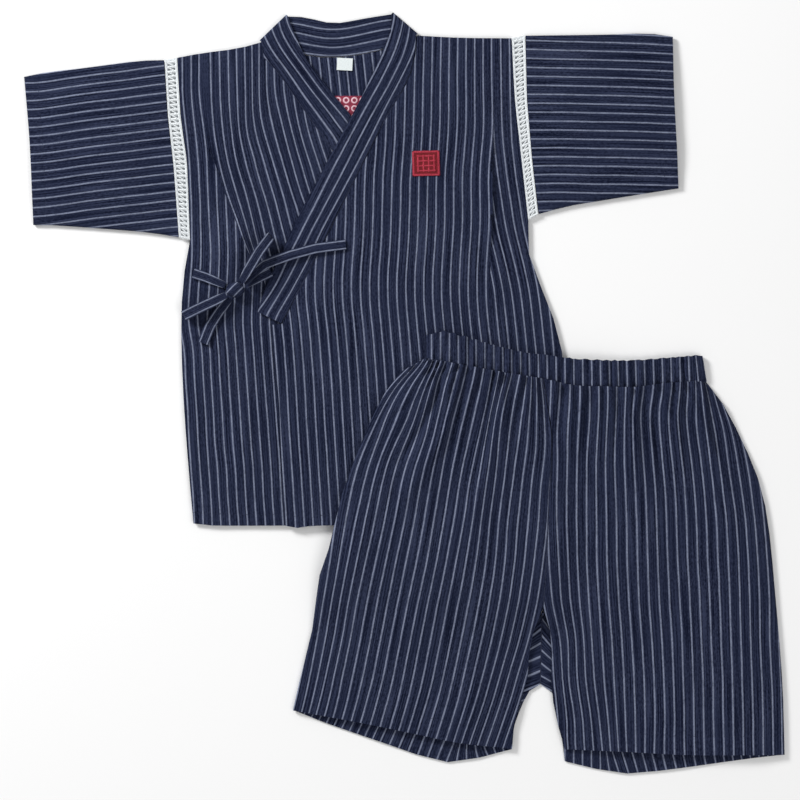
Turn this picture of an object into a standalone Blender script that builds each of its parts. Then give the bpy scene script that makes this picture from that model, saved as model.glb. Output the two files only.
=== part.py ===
"""A child's jinbei set, a wrap jacket and shorts, laid out flat with the shorts over the jacket's corner.

Places are in millimetres on the table that the set lies on: X runs right, Y towards the neck, Z up.
Right and left are the wearer's, so the right sleeve is the one at -X. The left front lies on top.
"""

import math

import bmesh
import bpy
import numpy as np

MM = 0.001

# Walls and clearances
CLOTH = 1.4  # the striped cotton of the panels, sleeves and legs
BAND = 2.0  # collar and waistband, which are folded double
TIE = 1.6  # the narrow tubes of the ties
LACE = 1.0
LABEL = 1.0
GAP = 0.3  # half a seam's clearance, kept by each side of it
SEAT = 0.45  # clearance between a layer and what it lies on

# Heights of the folds that make the set lie softly
BODY_LOFT = 1.2
SLEEVE_LOFT = 2.0
LEG_LOFT = 3.0
SLEEVE_HOLLOW = 1.0
LEG_HOLLOW = 0.4
BAND_HOLLOW = 0.8
FOLD_INSET = 2.2  # how far inside the outline a wall turns over at a fold

# Steps along the edges, shared by the pieces that meet there
COLLAR_STEPS = 18
NECK_STEPS = 8
SHOULDER_STEPS = 5
SIDE_ROWS = 9
ARM_ROWS = 7
CENTRE_ROWS = 8
CROTCH_ROWS = 6
BACK_COLUMNS = 7

# The jacket's outline, as runs of (x, y) from the hem up or from the shoulder out
SIDE_RIGHT = [(-190, -117), (-194, -72), (-199, -3), (-201, 60), (-199, 102), (-193, 138)]
ARMHOLE_RIGHT = [(-193, 138), (-195.5, 205), (-201.5, 250), (-204.5, 302)]
LACE_RIGHT = [(-203, 140), (-208, 205), (-213, 250), (-216, 300)]
SLEEVE_TOP_RIGHT = [(-216, 300), (-242, 299), (-288, 293), (-322, 289), (-342, 285)]
CUFF_RIGHT = [(-334, 151), (-337, 225), (-342, 285)]
SLEEVE_LOWER_RIGHT = [(-203, 140), (-237, 145), (-318, 151), (-334, 151)]
SHOULDER_RIGHT = [(-204.5, 302), (-183, 306), (-150, 310.5), (-129, 316)]

SIDE_LEFT = [(151, -118), (150, -60), (146, -6), (139, 50), (122, 97), (110, 132), (111, 156)]
ARMHOLE_LEFT = [(111, 156), (105, 210), (99, 264), (96, 319.5)]
LACE_LEFT = [(120, 161), (114.5, 210), (110, 264), (108.5, 322)]
SLEEVE_TOP_LEFT = [(108.5, 322), (183, 323), (218, 324), (241, 321)]
CUFF_LEFT = [(246, 184), (245, 211), (242, 271), (241, 321)]
SLEEVE_LOWER_LEFT = [(120, 161), (147, 168), (176.5, 173), (220, 180), (246, 184)]
SHOULDER_LEFT = [(10, 322), (50, 320), (96, 319.5)]

HEM_RIGHT = [(-190, -117), (-183, -118), (-149, -119), (54, -118)]
HEM_BACK = [(-190, -116), (-60, -117), (151, -117)]
HEM_LEFT = [(-107, -119), (-93, -121), (-62, -118.5), (151, -118)]
FRONT_EDGE_LEFT = [(-107, -119), (-110.5, -60), (-113, -6), (-117, 30), (-119, 61.5)]
FRONT_EDGE_RIGHT = [(54, -118), (40, -50), (22, 40), (10, 109)]

# The collar's two edges: sewn to the body along one, free along the other
COLLAR_SEAM_RIGHT = [
    (10, 109), (-18, 150), (-40, 183), (-65, 219), (-91, 256), (-114, 289), (-126, 301), (-129, 316),
]
COLLAR_FREE_RIGHT = [
    (31, 121), (-4, 172), (-27, 205), (-51, 241), (-79, 287), (-91, 305), (-102, 330), (-105, 339),
]
COLLAR_SEAM_BACK = [(-129, 316), (-91, 305), (-58, 303), (-19, 310), (10, 322)]
COLLAR_FREE_BACK = [(-105, 339), (-89, 338), (-64, 333), (-37, 337), (-12, 341)]
COLLAR_SEAM_LEFT = [
    (10, 322), (8, 300), (1, 279), (-16, 250), (-34, 215), (-69, 145), (-89, 105), (-111, 63),
]
COLLAR_FREE_LEFT = [
    (-12, 341), (-11, 329), (-19, 310), (-38, 268), (-64, 219), (-94, 162), (-124, 97), (-132, 73),
]

# The shorts' outline
WAIST_TOP_RIGHT = [(21, 54), (28, 56.5), (42, 55), (78, 44), (106, 37), (126, 35)]
WAIST_TOP_LEFT = [(126, 35), (148, 32), (198, 30), (244, 33), (268, 35)]
WAIST_SEAM_RIGHT = [(22, 31.5), (54, 26), (87, 20), (124, 14)]
WAIST_SEAM_LEFT = [(124, 14), (152, 8), (179, 7), (207, 6.5), (234, 10), (268.5, 12.5)]
SIDE_LEG_RIGHT = [
    (18.5, 31), (0, 23), (-24, -10), (-51, -75), (-64, -124), (-77, -185), (-95, -259), (-101, -285),
]
HEM_LEG_RIGHT = [(-101, -285), (-45, -295), (0, -304), (48, -314), (96.5, -319.5)]
HEM_LEG_RIGHT_BACK = [(-101, -285), (-67, -298), (-16, -315.5), (32, -331), (61, -329), (96.5, -320)]
CROTCH_RIGHT = [
    (124, -193), (118, -208), (113, -226), (110, -262), (101.5, -283), (98, -303), (96.5, -319.5),
]
CROTCH_RIGHT_BACK = [(122, -262), (113, -267), (104, -285), (98, -303), (96.5, -320)]
CENTRE_FRONT = [(124, 14), (132, -42), (129, -96), (127, -150), (124, -193)]
CENTRE_BACK = [(124, 14), (126, -60), (122, -262)]
SIDE_LEG_LEFT = [(271, 11), (291, -17), (316.5, -72), (327, -116), (334, -185), (340, -260), (342, -325)]
HEM_LEG_LEFT = [(144, -320), (198, -322), (258, -325), (342, -325)]
HEM_LEG_LEFT_BACK = [(144, -331), (168, -337), (200, -342), (249, -337), (306, -329), (342, -325)]
CROTCH_LEFT = [(124, -193), (129, -205), (132, -234), (131, -262), (134, -283), (139, -305), (144, -320)]
CROTCH_LEFT_BACK = [(122, -262), (131, -267), (136, -283), (140, -305), (144, -331)]

# Each leg's edges from the middle out: way along X, side, hems, inner edges and waist
LEG_EDGES = [
    (
        -1, SIDE_LEG_RIGHT, HEM_LEG_RIGHT[::-1], HEM_LEG_RIGHT_BACK[::-1],
        CROTCH_RIGHT, CROTCH_RIGHT_BACK, WAIST_SEAM_RIGHT[::-1],
    ),
    (
        1, SIDE_LEG_LEFT, HEM_LEG_LEFT, HEM_LEG_LEFT_BACK,
        CROTCH_LEFT, CROTCH_LEFT_BACK, WAIST_SEAM_LEFT,
    ),
]

# Soft ridges: panel, start, end, height, half width
FOLDS = [
    ("front_right", (-176, 225), (-143, 132), 3.0, 9),
    ("front_right", (-160, 70), (-172, -40), 2.0, 12),
    ("front_right", (-132, 60), (-140, -70), 1.6, 11),
    ("front_left", (80, 300), (82, 215), 2.0, 10),
    ("front_left", (82, 215), (90, 125), 2.4, 10),
    ("front_left", (-92, 80), (-30, -30), 1.6, 13),
    ("front_left", (60, 130), (85, 40), 1.6, 12),
    ("sleeve", (-318, 262), (-228, 222), 1.6, 12),
    ("sleeve", (-320, 190), (-238, 176), 1.2, 12),
    ("sleeve", (136, 262), (226, 240), 1.6, 12),
    ("sleeve", (150, 196), (222, 214), 1.2, 12),
    ("leg", (42, 22), (46, -6), 3.0, 8),
    ("leg", (46, -6), (2, -92), 2.6, 11),
    ("leg", (92, 14), (84, -30), 2.6, 8),
    ("leg", (84, -30), (62, -130), 2.0, 12),
    ("leg", (110, 8), (104, -60), 1.8, 8),
    ("leg", (150, 0), (158, -90), 1.8, 10),
    ("leg", (196, 0), (204, -80), 2.0, 10),
    ("leg", (232, 2), (246, -70), 2.4, 10),
    ("leg", (256, 4), (292, -96), 2.4, 11),
    ("leg", (20, -180), (0, -280), 1.6, 14),
    ("leg", (230, -180), (246, -300), 1.6, 14),
]

# Gathers that the waist's elastic draws in across the front
GATHERS = 26
BAND_RIPPLE = 1.0
LEG_GATHER = 1.1
GATHER_REACH = 95

# Ladder lace let in at each armhole
LADDER_GAPS = 38
LADDER_RAIL = 2.0
LADDER_OPEN = 0.48  # part of each step that is open

# The neck label
LABEL_CENTRE = (-54, 296)
LABEL_SIZE = (14, 11)
LABEL_TURN = math.radians(-3)

# The bow that holds the jacket shut
KNOT = (-152, 93)
KNOT_RADII = (8.5, 7, 5)
TIE_WIDTH = 9
TIE_PINCH = 5.5  # width of a tie where the knot grips it
TIE_REACH = 4  # how far ahead a tie clears what it lies on
TIE_SIDE = [(-190, 108), (-178, 104), (-161, 97)]
TIE_FRONT = [(-120, 109), (-130, 104), (-143, 97)]
LOOP_LOWER = [(-160, 88), (-172, 82), (-185, 76), (-196, 71)]
LOOP_UPPER = [(-146, 100), (-139, 112), (-130, 127), (-122, 138)]
TAIL_LONG = [(-144, 99), (-126, 115), (-102, 124), (-80, 130), (-53, 133.5)]
TAIL_SHORT = [(-157, 85), (-166, 74), (-175, 60), (-181, 45)]
LOOP_RADIUS = (1.6, 3.2)  # at the tip, and at the loop's middle

# Colours as linear values
NAVY = (0.022, 0.028, 0.060)
WHITE = (0.80, 0.80, 0.78)

# The grid that the heights of the layers are kept on
CELL = 2.0
FACET_PARTS = 4
TABLE_HALF = 372.0
GRID = int(2 * TABLE_HALF / CELL) + 1


def curve(points, step=3.0):
    """A smooth line through the points, a short step at a time."""
    points = np.array(points, float)
    before = 2 * points[0] - points[1]
    after = 2 * points[-1] - points[-2]
    padded = np.vstack([before, points, after])
    line = []
    for i in range(1, len(padded) - 2):
        p0, p1, p2, p3 = padded[i - 1 : i + 3]
        count = max(1, int(np.linalg.norm(p2 - p1) / step))
        for t in np.arange(count) / count:
            a = 2 * p1 + (p2 - p0) * t
            b = (2 * p0 - 5 * p1 + 4 * p2 - p3) * t**2
            c = (3 * p1 - p0 - 3 * p2 + p3) * t**3
            line.append((a + b + c) / 2)
    line.append(points[-1])
    return np.array(line)


def stations(points, where):
    """Points spread along the smooth line of a run: a number of equal steps, or the parts of its length."""
    line = curve(points)
    length = np.concatenate([[0], np.cumsum(np.linalg.norm(np.diff(line, axis=0), axis=1))])
    parts = np.linspace(0, 1, where + 1) if isinstance(where, int) else where
    return np.column_stack([np.interp(parts * length[-1], length, line[:, k]) for k in (0, 1)])


def edge(*runs):
    """One edge of a panel from several runs, each with its own number of steps."""
    pieces = [stations(points, count) for points, count in runs]
    return np.vstack([pieces[0]] + [piece[1:] for piece in pieces[1:]])


def under(top):
    """The parts of an edge's width at its points, so that the opposite edge has its points right below them."""
    return (top[:, 0] - top[0, 0]) / (top[-1, 0] - top[0, 0])


def patch(bottom, top, left, right, across=None):
    """A grid between four edges: rows from bottom to top, columns from left to right."""
    left, right = left.copy(), right.copy()
    left[0], left[-1], right[0], right[-1] = bottom[0], top[0], bottom[-1], top[-1]
    u = (np.linspace(0, 1, len(bottom)) if across is None else across)[None, :, None]
    v = np.linspace(0, 1, len(left))[:, None, None]
    sides = (1 - u) * left[:, None] + u * right[:, None]
    ends = (1 - v) * bottom[None] + v * top[None]
    low = (1 - u) * bottom[0] + u * bottom[-1]
    high = (1 - u) * top[0] + u * top[-1]
    return sides + ends - ((1 - v) * low + v * high)


def shifted(points, x=0.0, y=0.0):
    return [(px + x, py + y) for px, py in points]


def smooth(value):
    value = np.clip(value, 0, 1)
    return value * value * (3 - 2 * value)


def ridges(panel, xy):
    """How high the panel's soft folds stand at each point."""
    height = np.zeros(xy.shape[:-1])
    for owner, start, end, rise, half in FOLDS:
        if owner != panel:
            continue
        start, end = np.array(start, float), np.array(end, float)
        run = end - start
        t = np.clip(((xy - start) @ run) / (run @ run), 0, 1)
        away = np.linalg.norm(xy - (start + t[..., None] * run), axis=-1)
        ends = smooth(np.minimum(t, 1 - t) * 6 + 0.35)
        height = np.maximum(height, rise * ends * np.exp(-((away / half) ** 2)))
    return height


def inside(rows, columns, edges, reach=2.0):
    """A hump over a grid: 0 along the named edges, 1 a few rows or columns in from them."""
    i = np.arange(rows)[:, None] * np.ones((1, columns))
    j = np.arange(columns)[None, :] * np.ones((rows, 1))
    ways = {"bottom": i, "top": rows - 1 - i, "left": j, "right": columns - 1 - j}
    hump = np.ones((rows, columns))
    for edge in edges:
        hump = np.minimum(hump, ways[edge] / reach)
    return smooth(hump)


class Pile:
    """How high the layers laid so far reach, over a square grid on the table."""

    def __init__(self, heights=None):
        self.heights = np.zeros((GRID, GRID)) if heights is None else heights

    def with_layers(self, *layers):
        """A copy with more layers on it, each a grid of points in mid-wall and its thickness."""
        pile = Pile(self.heights.copy())
        for grid, thickness in layers:
            pile.lay(grid, thickness)
        return pile

    def lay(self, grid, thickness):
        """Raises the cells under each facet, in small parts so that a slope stays a slope."""
        corners = grid[:-1, :-1], grid[1:, :-1], grid[1:, 1:], grid[:-1, 1:]
        twist = abs(corners[0] - corners[1] + corners[2] - corners[3])[..., 2] / 4
        steps = np.linspace(0, 1, FACET_PARTS + 1)
        for u, u_next in zip(steps, steps[1:]):
            for v, v_next in zip(steps, steps[1:]):
                ends = [between(corners, a, b) for a in (u, u_next) for b in (v, v_next)]
                low = np.floor((np.min(ends, axis=0)[..., :2] + TABLE_HALF) / CELL).astype(int)
                high = np.ceil((np.max(ends, axis=0)[..., :2] + TABLE_HALF) / CELL).astype(int)
                top = np.max(ends, axis=0)[..., 2] + twist + thickness / 2 + SEAT
                for (x0, y0), (x1, y1), z in zip(low.reshape(-1, 2), high.reshape(-1, 2), top.ravel()):
                    area = self.heights[x0 : x1 + 1, y0 : y1 + 1]
                    np.maximum(area, z, out=area)

    def rest(self, xy, reach):
        """The height at which a piece with facets up to reach long clears what it lies on."""
        field = self.heights
        for axis in (0, 1):
            field = spread(field, int(reach / CELL) + 2, axis, np.maximum)
        for axis in (0, 1):
            field = spread(field, 2, axis, np.add) / 5
        place = (xy + TABLE_HALF) / CELL
        cell = np.clip(place.astype(int), 0, GRID - 2)
        part = place - cell
        i, j = cell[..., 0], cell[..., 1]
        a, b = part[..., 0], part[..., 1]
        low = (1 - b) * field[i, j] + b * field[i, j + 1]
        high = (1 - b) * field[i + 1, j] + b * field[i + 1, j + 1]
        return (1 - a) * low + a * high


def between(corners, u, v):
    """The point of each facet that is u of the way along its first side and v along its second."""
    a, b, c, d = corners
    return (1 - u) * ((1 - v) * a + v * d) + u * ((1 - v) * b + v * c)


def spread(field, cells, axis, join):
    """Joins each cell with its neighbours along one axis, by their maximum or their sum."""
    widths = [(cells, cells) if k == axis else (0, 0) for k in (0, 1)]
    padded = np.pad(field, widths, mode="edge")
    result = None
    for shift in range(2 * cells + 1):
        part = np.take(padded, range(shift, shift + field.shape[axis]), axis=axis)
        result = part.copy() if result is None else join(result, part)
    return result


def raised(xy, z):
    return np.concatenate([xy, np.broadcast_to(z, xy.shape[:-1])[..., None]], axis=-1)


def laid(xy, pile, thickness, reach, loft=0.0):
    """The grid in mid-wall of a layer that lies on the pile."""
    return raised(xy, pile.rest(xy, reach) + thickness / 2 + loft)


def fold_points(start, end, outward, steps=4):
    """Rows of points round a half turn from start to end, bulging outward, without the two ends."""
    middle, half = (start + end) / 2, (start - end) / 2
    bulge = outward * np.linalg.norm(half, axis=-1, keepdims=True)
    turns = [math.pi * k / steps for k in range(1, steps)]
    return [middle + half * math.cos(a) + bulge * math.sin(a) for a in turns]


def outward_of(edge, away_from):
    """Level unit vectors across an edge, pointing away from a point inside the piece."""
    along = np.gradient(edge[:, :2], axis=0)
    across = np.column_stack([along[:, 1], -along[:, 0], np.zeros(len(edge))])
    across /= np.linalg.norm(across, axis=1, keepdims=True)
    side = ((edge[:, :2] - away_from) * across[:, :2]).sum(axis=1)
    return across * np.where(side < 0, -1.0, 1.0)[:, None]


def material(name, colour, roughness):
    made = bpy.data.materials.new(name)
    made.use_nodes = True
    shader = made.node_tree.nodes["Principled BSDF"]
    shader.inputs["Base Color"].default_value = (*colour, 1)
    shader.inputs["Roughness"].default_value = roughness
    shader.inputs["Metallic"].default_value = 0.0
    made.diffuse_color = (*colour, 1)
    return made


def keep(name, bm, colour, roughness):
    """Makes the finished mesh an object in the set's collection."""
    mesh = bpy.data.meshes.new(name)
    bm.to_mesh(mesh)
    bm.free()
    mesh.materials.append(material(name, colour, roughness))
    mesh.shade_smooth()
    obj = bpy.data.objects.new(name, mesh)
    bpy.data.collections["jinbei_set"].objects.link(obj)
    return obj


def thicken(obj, thickness):
    wall = obj.modifiers.new("Wall", "SOLIDIFY")
    wall.thickness = thickness * MM
    wall.offset = 0


def cloth(name, grid, thickness, colour=NAVY, closed=False, roughness=0.85):
    """A wall of cloth on a grid of points in mid-wall. closed joins the last column to the first."""
    rows, columns = grid.shape[:2]
    bm = bmesh.new()
    verts = [[bm.verts.new(point) for point in row] for row in grid * MM]
    for i in range(rows - 1):
        for j in range(columns if closed else columns - 1):
            k = (j + 1) % columns
            bm.faces.new([verts[i][j], verts[i][k], verts[i + 1][k], verts[i + 1][j]])
    obj = keep(name, bm, colour, roughness)
    thicken(obj, thickness)
    return obj


def back_panel():
    neck = shifted(COLLAR_SEAM_BACK, y=-GAP * 2)
    shoulders = [shifted(run, y=-GAP * 2) for run in (SHOULDER_RIGHT, SHOULDER_LEFT)]
    top = edge((shoulders[0], 3), (neck, NECK_STEPS), (shoulders[1], 3))
    left = edge((SIDE_RIGHT, SIDE_ROWS), (ARMHOLE_RIGHT, ARM_ROWS))
    right = edge((SIDE_LEFT, SIDE_ROWS), (ARMHOLE_LEFT, ARM_ROWS))
    below = under(top)
    return raised(patch(stations(HEM_BACK, below), top, left, right, below), CLOTH / 2)


def front_right_plan():
    seam = shifted(COLLAR_SEAM_RIGHT[::-1], x=-GAP * 2, y=-GAP)
    top = edge((shifted(SHOULDER_RIGHT, y=-GAP), SHOULDER_STEPS), (seam, COLLAR_STEPS))
    left = edge((SIDE_RIGHT, SIDE_ROWS), (ARMHOLE_RIGHT, ARM_ROWS))
    right = stations(FRONT_EDGE_RIGHT, SIDE_ROWS + ARM_ROWS)
    below = under(top)
    return patch(stations(HEM_RIGHT, below), top, left, right, below)


def front_left_plan():
    seam = shifted(COLLAR_SEAM_LEFT[::-1], x=GAP * 3, y=-GAP)
    corner = [FRONT_EDGE_LEFT[-1], seam[0]]
    top = edge((corner, 1), (seam, COLLAR_STEPS), (shifted(SHOULDER_LEFT, y=-GAP), SHOULDER_STEPS))
    left = stations(FRONT_EDGE_LEFT, SIDE_ROWS + ARM_ROWS)
    right = edge((SIDE_LEFT, SIDE_ROWS), (ARMHOLE_LEFT, ARM_ROWS))
    below = under(top)
    return patch(stations(HEM_LEFT, below), top, left, right, below)


def band_plan(seam, free, count):
    """The plan of a stretch of collar: a row of three points at each station along it."""
    sewn, loose = stations(seam, count), stations(free, count)
    return np.stack([sewn, (sewn + loose) / 2, loose], axis=1)


def collar_grid(right, back, left):
    """Joins the collar's three stretches by a half turn at each shoulder."""
    neck = np.array([-58.0, 270.0])
    first = fold_points(right[-1], back[0], outward_of(back[0], neck))
    second = fold_points(back[-1], left[0], outward_of(back[-1], neck))
    return np.concatenate([right, first, back, second, left])


def sleeve(name, armhole, cuff, top, lower, spread_x):
    """A sleeve lying flat: front and back walls with a fold along the top and one under the arm."""
    columns, rows = 10, 8
    hole = stations(shifted(armhole, x=spread_x), columns)
    upper = stations(shifted(top[:1], x=spread_x) + top[1:], rows)
    below = stations(shifted(lower[:1], x=spread_x) + lower[1:], rows)
    inset = np.linspace(FOLD_INSET, -FOLD_INSET, columns + 1)[None, :, None] * np.array([0.0, 1.0])
    plan = patch(hole, stations(cuff, columns), below, upper) + inset
    back = raised(plan, CLOTH / 2)
    hump = inside(rows + 1, columns + 1, ["left", "right"], 3) * inside(rows + 1, columns + 1, ["bottom"], 3)
    loft = SLEEVE_LOFT * hump + ridges("sleeve", plan) * inside(rows + 1, columns + 1, ["left", "right"])
    front = raised(plan, CLOTH * 1.5 + SLEEVE_HOLLOW + loft)
    middle = plan.reshape(-1, 2).mean(axis=0)
    over = fold_points(front[:, -1], back[:, -1], outward_of(back[:, -1], middle))
    under_arm = fold_points(back[:, 0], front[:, 0], outward_of(back[:, 0], middle))
    ring = [front[:, j] for j in range(columns + 1)] + over
    ring += [back[:, j] for j in range(columns, -1, -2)] + under_arm
    return cloth(name, np.stack(ring, axis=1), CLOTH, closed=True)


def lace(name, body_edge, sleeve_edge, heights, ladder):
    """A strip let in between body and sleeve: two rails, and bars with open steps between them."""
    inner, outer = stations(body_edge, LADDER_GAPS * 2), stations(sleeve_edge, LADDER_GAPS * 2)
    across = (outer - inner) / np.linalg.norm(outer - inner, axis=1, keepdims=True)
    inner, outer = inner + across * GAP, outer - across * GAP
    if not ladder:
        ends = np.stack([inner[::4], outer[::4]], axis=1)
        return cloth(name, raised(ends, LACE / 2), LACE, WHITE)
    slide = np.where(np.arange(len(inner)) % 2 == 1, 1 - 2 * LADDER_OPEN, 0.0)[:, None]
    ahead = np.roll(inner, -1, axis=0) - inner
    lines = [inner, inner + across * LADDER_RAIL, outer - across * LADDER_RAIL, outer]
    places = [0, 1, 1, 0]
    levels = np.interp([0, 1 / 3, 2 / 3, 1], [0, 1], heights)
    bm = bmesh.new()
    verts = []
    for line, inner_line, z in zip(lines, places, levels):
        moved = line + ahead * slide * inner_line
        verts.append([bm.verts.new((x * MM, y * MM, z * MM)) for x, y in moved])
    for i in range(0, LADDER_GAPS * 2, 2):
        first, last = [line[i : i + 3] for line in verts[:2]], [line[i : i + 3] for line in verts[2:]]
        bm.faces.new([first[0][0], first[1][0], first[1][1], first[1][2], first[0][2]])
        bm.faces.new([last[0][0], last[1][0], last[1][2], last[0][2], last[0][1]])
        bm.faces.new([first[1][0], last[0][0], last[0][1], first[1][1]])
    for line in verts:
        for vert in line:
            if not vert.link_faces:
                bm.verts.remove(vert)
    bmesh.ops.recalc_face_normals(bm, faces=bm.faces)
    obj = keep(name, bm, WHITE, 0.8)
    thicken(obj, LACE)
    return obj


def neck_label():
    half_x, half_y = LABEL_SIZE[0] / 2, LABEL_SIZE[1] / 2
    x, y = np.meshgrid([-half_x, 0, half_x], [-half_y, half_y])
    turned_x = x * math.cos(LABEL_TURN) - y * math.sin(LABEL_TURN)
    turned_y = x * math.sin(LABEL_TURN) + y * math.cos(LABEL_TURN)
    plan = np.stack([turned_x, turned_y], axis=-1) + LABEL_CENTRE
    return raised(plan, CLOTH + SEAT + LABEL / 2)


def strip_plan(path, widths, count):
    """The plan of a tie: a row of three points across it at each station along the path."""
    line = stations(path, count)
    along = np.gradient(line, axis=0)
    along /= np.linalg.norm(along, axis=1, keepdims=True)
    across = np.column_stack([-along[:, 1], along[:, 0]])
    width = np.interp(np.linspace(0, 1, count + 1), [0, 0.3, 1], widths)[:, None]
    return np.stack([line - across * width / 2, line, line + across * width / 2], axis=1)


def tie(name, path, widths, pile, lift=0.0, count=9):
    plan = strip_plan(path, widths, count)
    crown = np.array([0.0, 0.5, 0.0])
    grid = laid(plan, pile, TIE, TIE_REACH, crown + lift)
    cloth(name, grid, TIE)
    return pile.with_layers((grid, TIE))


def loop(name, path, widths, pile, count=7):
    """A bow's loop: a lower run out from the knot, a turn at the tip, and an upper run back."""
    plan = strip_plan(path, widths, count)
    lower = laid(plan, pile, TIE, TIE_REACH)
    t = np.linspace(0, 1, count + 1)[:, None]
    radius = LOOP_RADIUS[0] + (LOOP_RADIUS[1] - LOOP_RADIUS[0]) * np.sin(math.pi * np.minimum(t * 0.95, 1))
    base = lower[..., 2].max(axis=1, keepdims=True)
    upper = raised(plan, np.maximum(base, lower[..., 2]) + 2 * radius)
    way = plan[-1, 1] - plan[-2, 1]
    outward = np.append(way / np.linalg.norm(way), 0.0)
    tip = fold_points(lower[-1], upper[-1], np.tile(outward, (3, 1)))
    grid = np.concatenate([lower, np.array(tip), upper[::-1]])
    cloth(name, grid, TIE)
    return pile.with_layers((upper, TIE))


def knot(pile):
    place = np.array([[KNOT]], float)
    base = pile.rest(place, TIE_REACH)[0, 0]
    bm = bmesh.new()
    bmesh.ops.create_uvsphere(bm, u_segments=14, v_segments=8, radius=MM)
    for vert in bm.verts:
        x, y, z = vert.co
        vert.co = (x * KNOT_RADII[0], y * KNOT_RADII[1], z * KNOT_RADII[2])
        vert.co += type(vert.co)((KNOT[0] * MM, KNOT[1] * MM, (base + KNOT_RADII[2]) * MM))
    keep("bow_knot", bm, NAVY, 0.85)


def leg_plan(columns, side, hem, centre, crotch, waist, way):
    """Half the plan of one leg. Rows run from hem to waist, columns from the middle to the side."""
    mid = GAP * 1.5 * way
    inner = edge((shifted(crotch[::-1], x=mid), CROTCH_ROWS), (shifted(centre[::-1], x=mid), CENTRE_ROWS))
    outer = stations(side[::-1], CROTCH_ROWS + CENTRE_ROWS)
    outer -= outward_of(outer, inner.mean(axis=0))[:, :2] * FOLD_INSET
    top = stations(shifted(waist, y=-GAP * 2), columns)
    bottom = stations(hem, columns)
    bottom[-1] = outer[0]
    top[0] = inner[-1] - (0, GAP * 2)
    top[-1] = outer[-1]
    return patch(bottom, top, inner, outer)


def leg(name, front_plan, back, on_backs, middle):
    """One leg: front from the middle to the side, round the side's fold, and back to the middle."""
    rows, columns = front_plan.shape[:2]
    hump = inside(rows, columns, ["right"], 5) * leg_open(front_plan)
    waist_near = smooth(1 - (front_plan[-1:, :, 1] - front_plan[..., 1]) / GATHER_REACH)
    wave = np.where(np.arange(columns) % 2 == 0, 1.0, -1.0) * LEG_GATHER
    gather = (wave + LEG_GATHER) * waist_near * inside(rows, columns, ["right"])
    loft = LEG_HOLLOW + (LEG_LOFT + ridges("leg", front_plan)) * hump + gather
    front = laid(front_plan, on_backs, CLOTH, 22, loft)
    turn = fold_points(front[:, -1], back[:, -1], outward_of(back[:, -1], middle))
    grid = [front[:, j] for j in range(columns)] + turn
    grid += [back[:, j] for j in range(back.shape[1] - 1, -1, -1)]
    cloth(name, np.stack(grid, axis=1), CLOTH)


def leg_open(plan):
    """1 over the seat, falling to 0 along the inner edge of each leg, where its seam lies low."""
    from_middle = np.abs(plan[..., 0] - plan[:, :1, 0])
    below_crotch = smooth((-160 - plan[:, :1, 1]) / 60)
    return 1 - below_crotch * (1 - smooth(from_middle / 45))


def waistband(pile):
    """A closed band: a rippled front wall, a flat back wall, and a fold at each end."""
    per_gather, rows = 4, 2
    half = GATHERS * per_gather // 2
    columns = 2 * half
    low = edge((WAIST_SEAM_RIGHT, half), (WAIST_SEAM_LEFT, half))
    high = edge((WAIST_TOP_RIGHT, half), (WAIST_TOP_LEFT, half))
    t = np.linspace(0, 1, rows + 1)[:, None, None]
    plan = low + (high - low) * t
    middle = plan.reshape(-1, 2).mean(axis=0)
    back = laid(plan[:, :: per_gather * 2], pile, BAND, 22)
    on_back = pile.with_layers((back, BAND))
    wave = (1 + np.cos(np.linspace(0, GATHERS * 2 * math.pi, columns + 1))) * BAND_RIPPLE
    hump = inside(rows + 1, columns + 1, ["left", "right"], 6)
    front = laid(plan, on_back, BAND, 14, BAND_HOLLOW + wave * hump)
    right = fold_points(front[:, -1], back[:, -1], outward_of(back[:, -1], middle))
    left = fold_points(back[:, 0], front[:, 0], outward_of(back[:, 0], middle))
    ring = [front[:, j] for j in range(columns + 1)] + right
    ring += [back[:, j] for j in range(back.shape[1] - 1, -1, -1)] + left
    cloth("waistband", np.stack(ring, axis=1), BAND, closed=True)


def jacket():
    """Lays the jacket's pieces in the order they rest on each other, and returns the pile they make."""
    back = back_panel()
    neck = raised(band_plan(COLLAR_SEAM_BACK, COLLAR_FREE_BACK, NECK_STEPS), BAND / 2)
    label = neck_label()
    floor = Pile()
    on_back = floor.with_layers((back, CLOTH), (neck, BAND))

    plan = front_right_plan()
    hump = inside(*plan.shape[:2], ["left", "bottom", "top"], 3)
    loft = hump * (BODY_LOFT + ridges("front_right", plan))
    front_right = laid(plan, on_back, CLOTH, 20, loft)
    collar_right = laid(band_plan(COLLAR_SEAM_RIGHT, COLLAR_FREE_RIGHT, COLLAR_STEPS), on_back, BAND, 16)
    on_right = on_back.with_layers((front_right, CLOTH), (collar_right, BAND))

    plan = front_left_plan()
    hump = inside(*plan.shape[:2], ["right", "bottom", "left", "top"], 3)
    loft = hump * (BODY_LOFT + ridges("front_left", plan))
    front_left = laid(plan, on_right, CLOTH, 20, loft)
    collar_left = laid(band_plan(COLLAR_SEAM_LEFT, COLLAR_FREE_LEFT, COLLAR_STEPS), on_right, BAND, 16)

    cloth("jacket_back", back, CLOTH)
    cloth("neck_label", label, LABEL, WHITE)
    cloth("front_right", front_right, CLOTH)
    cloth("front_left", front_left, CLOTH)
    cloth("collar", collar_grid(collar_right, neck, collar_left), BAND)
    return on_right.with_layers((front_left, CLOTH), (collar_left, BAND))


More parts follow.
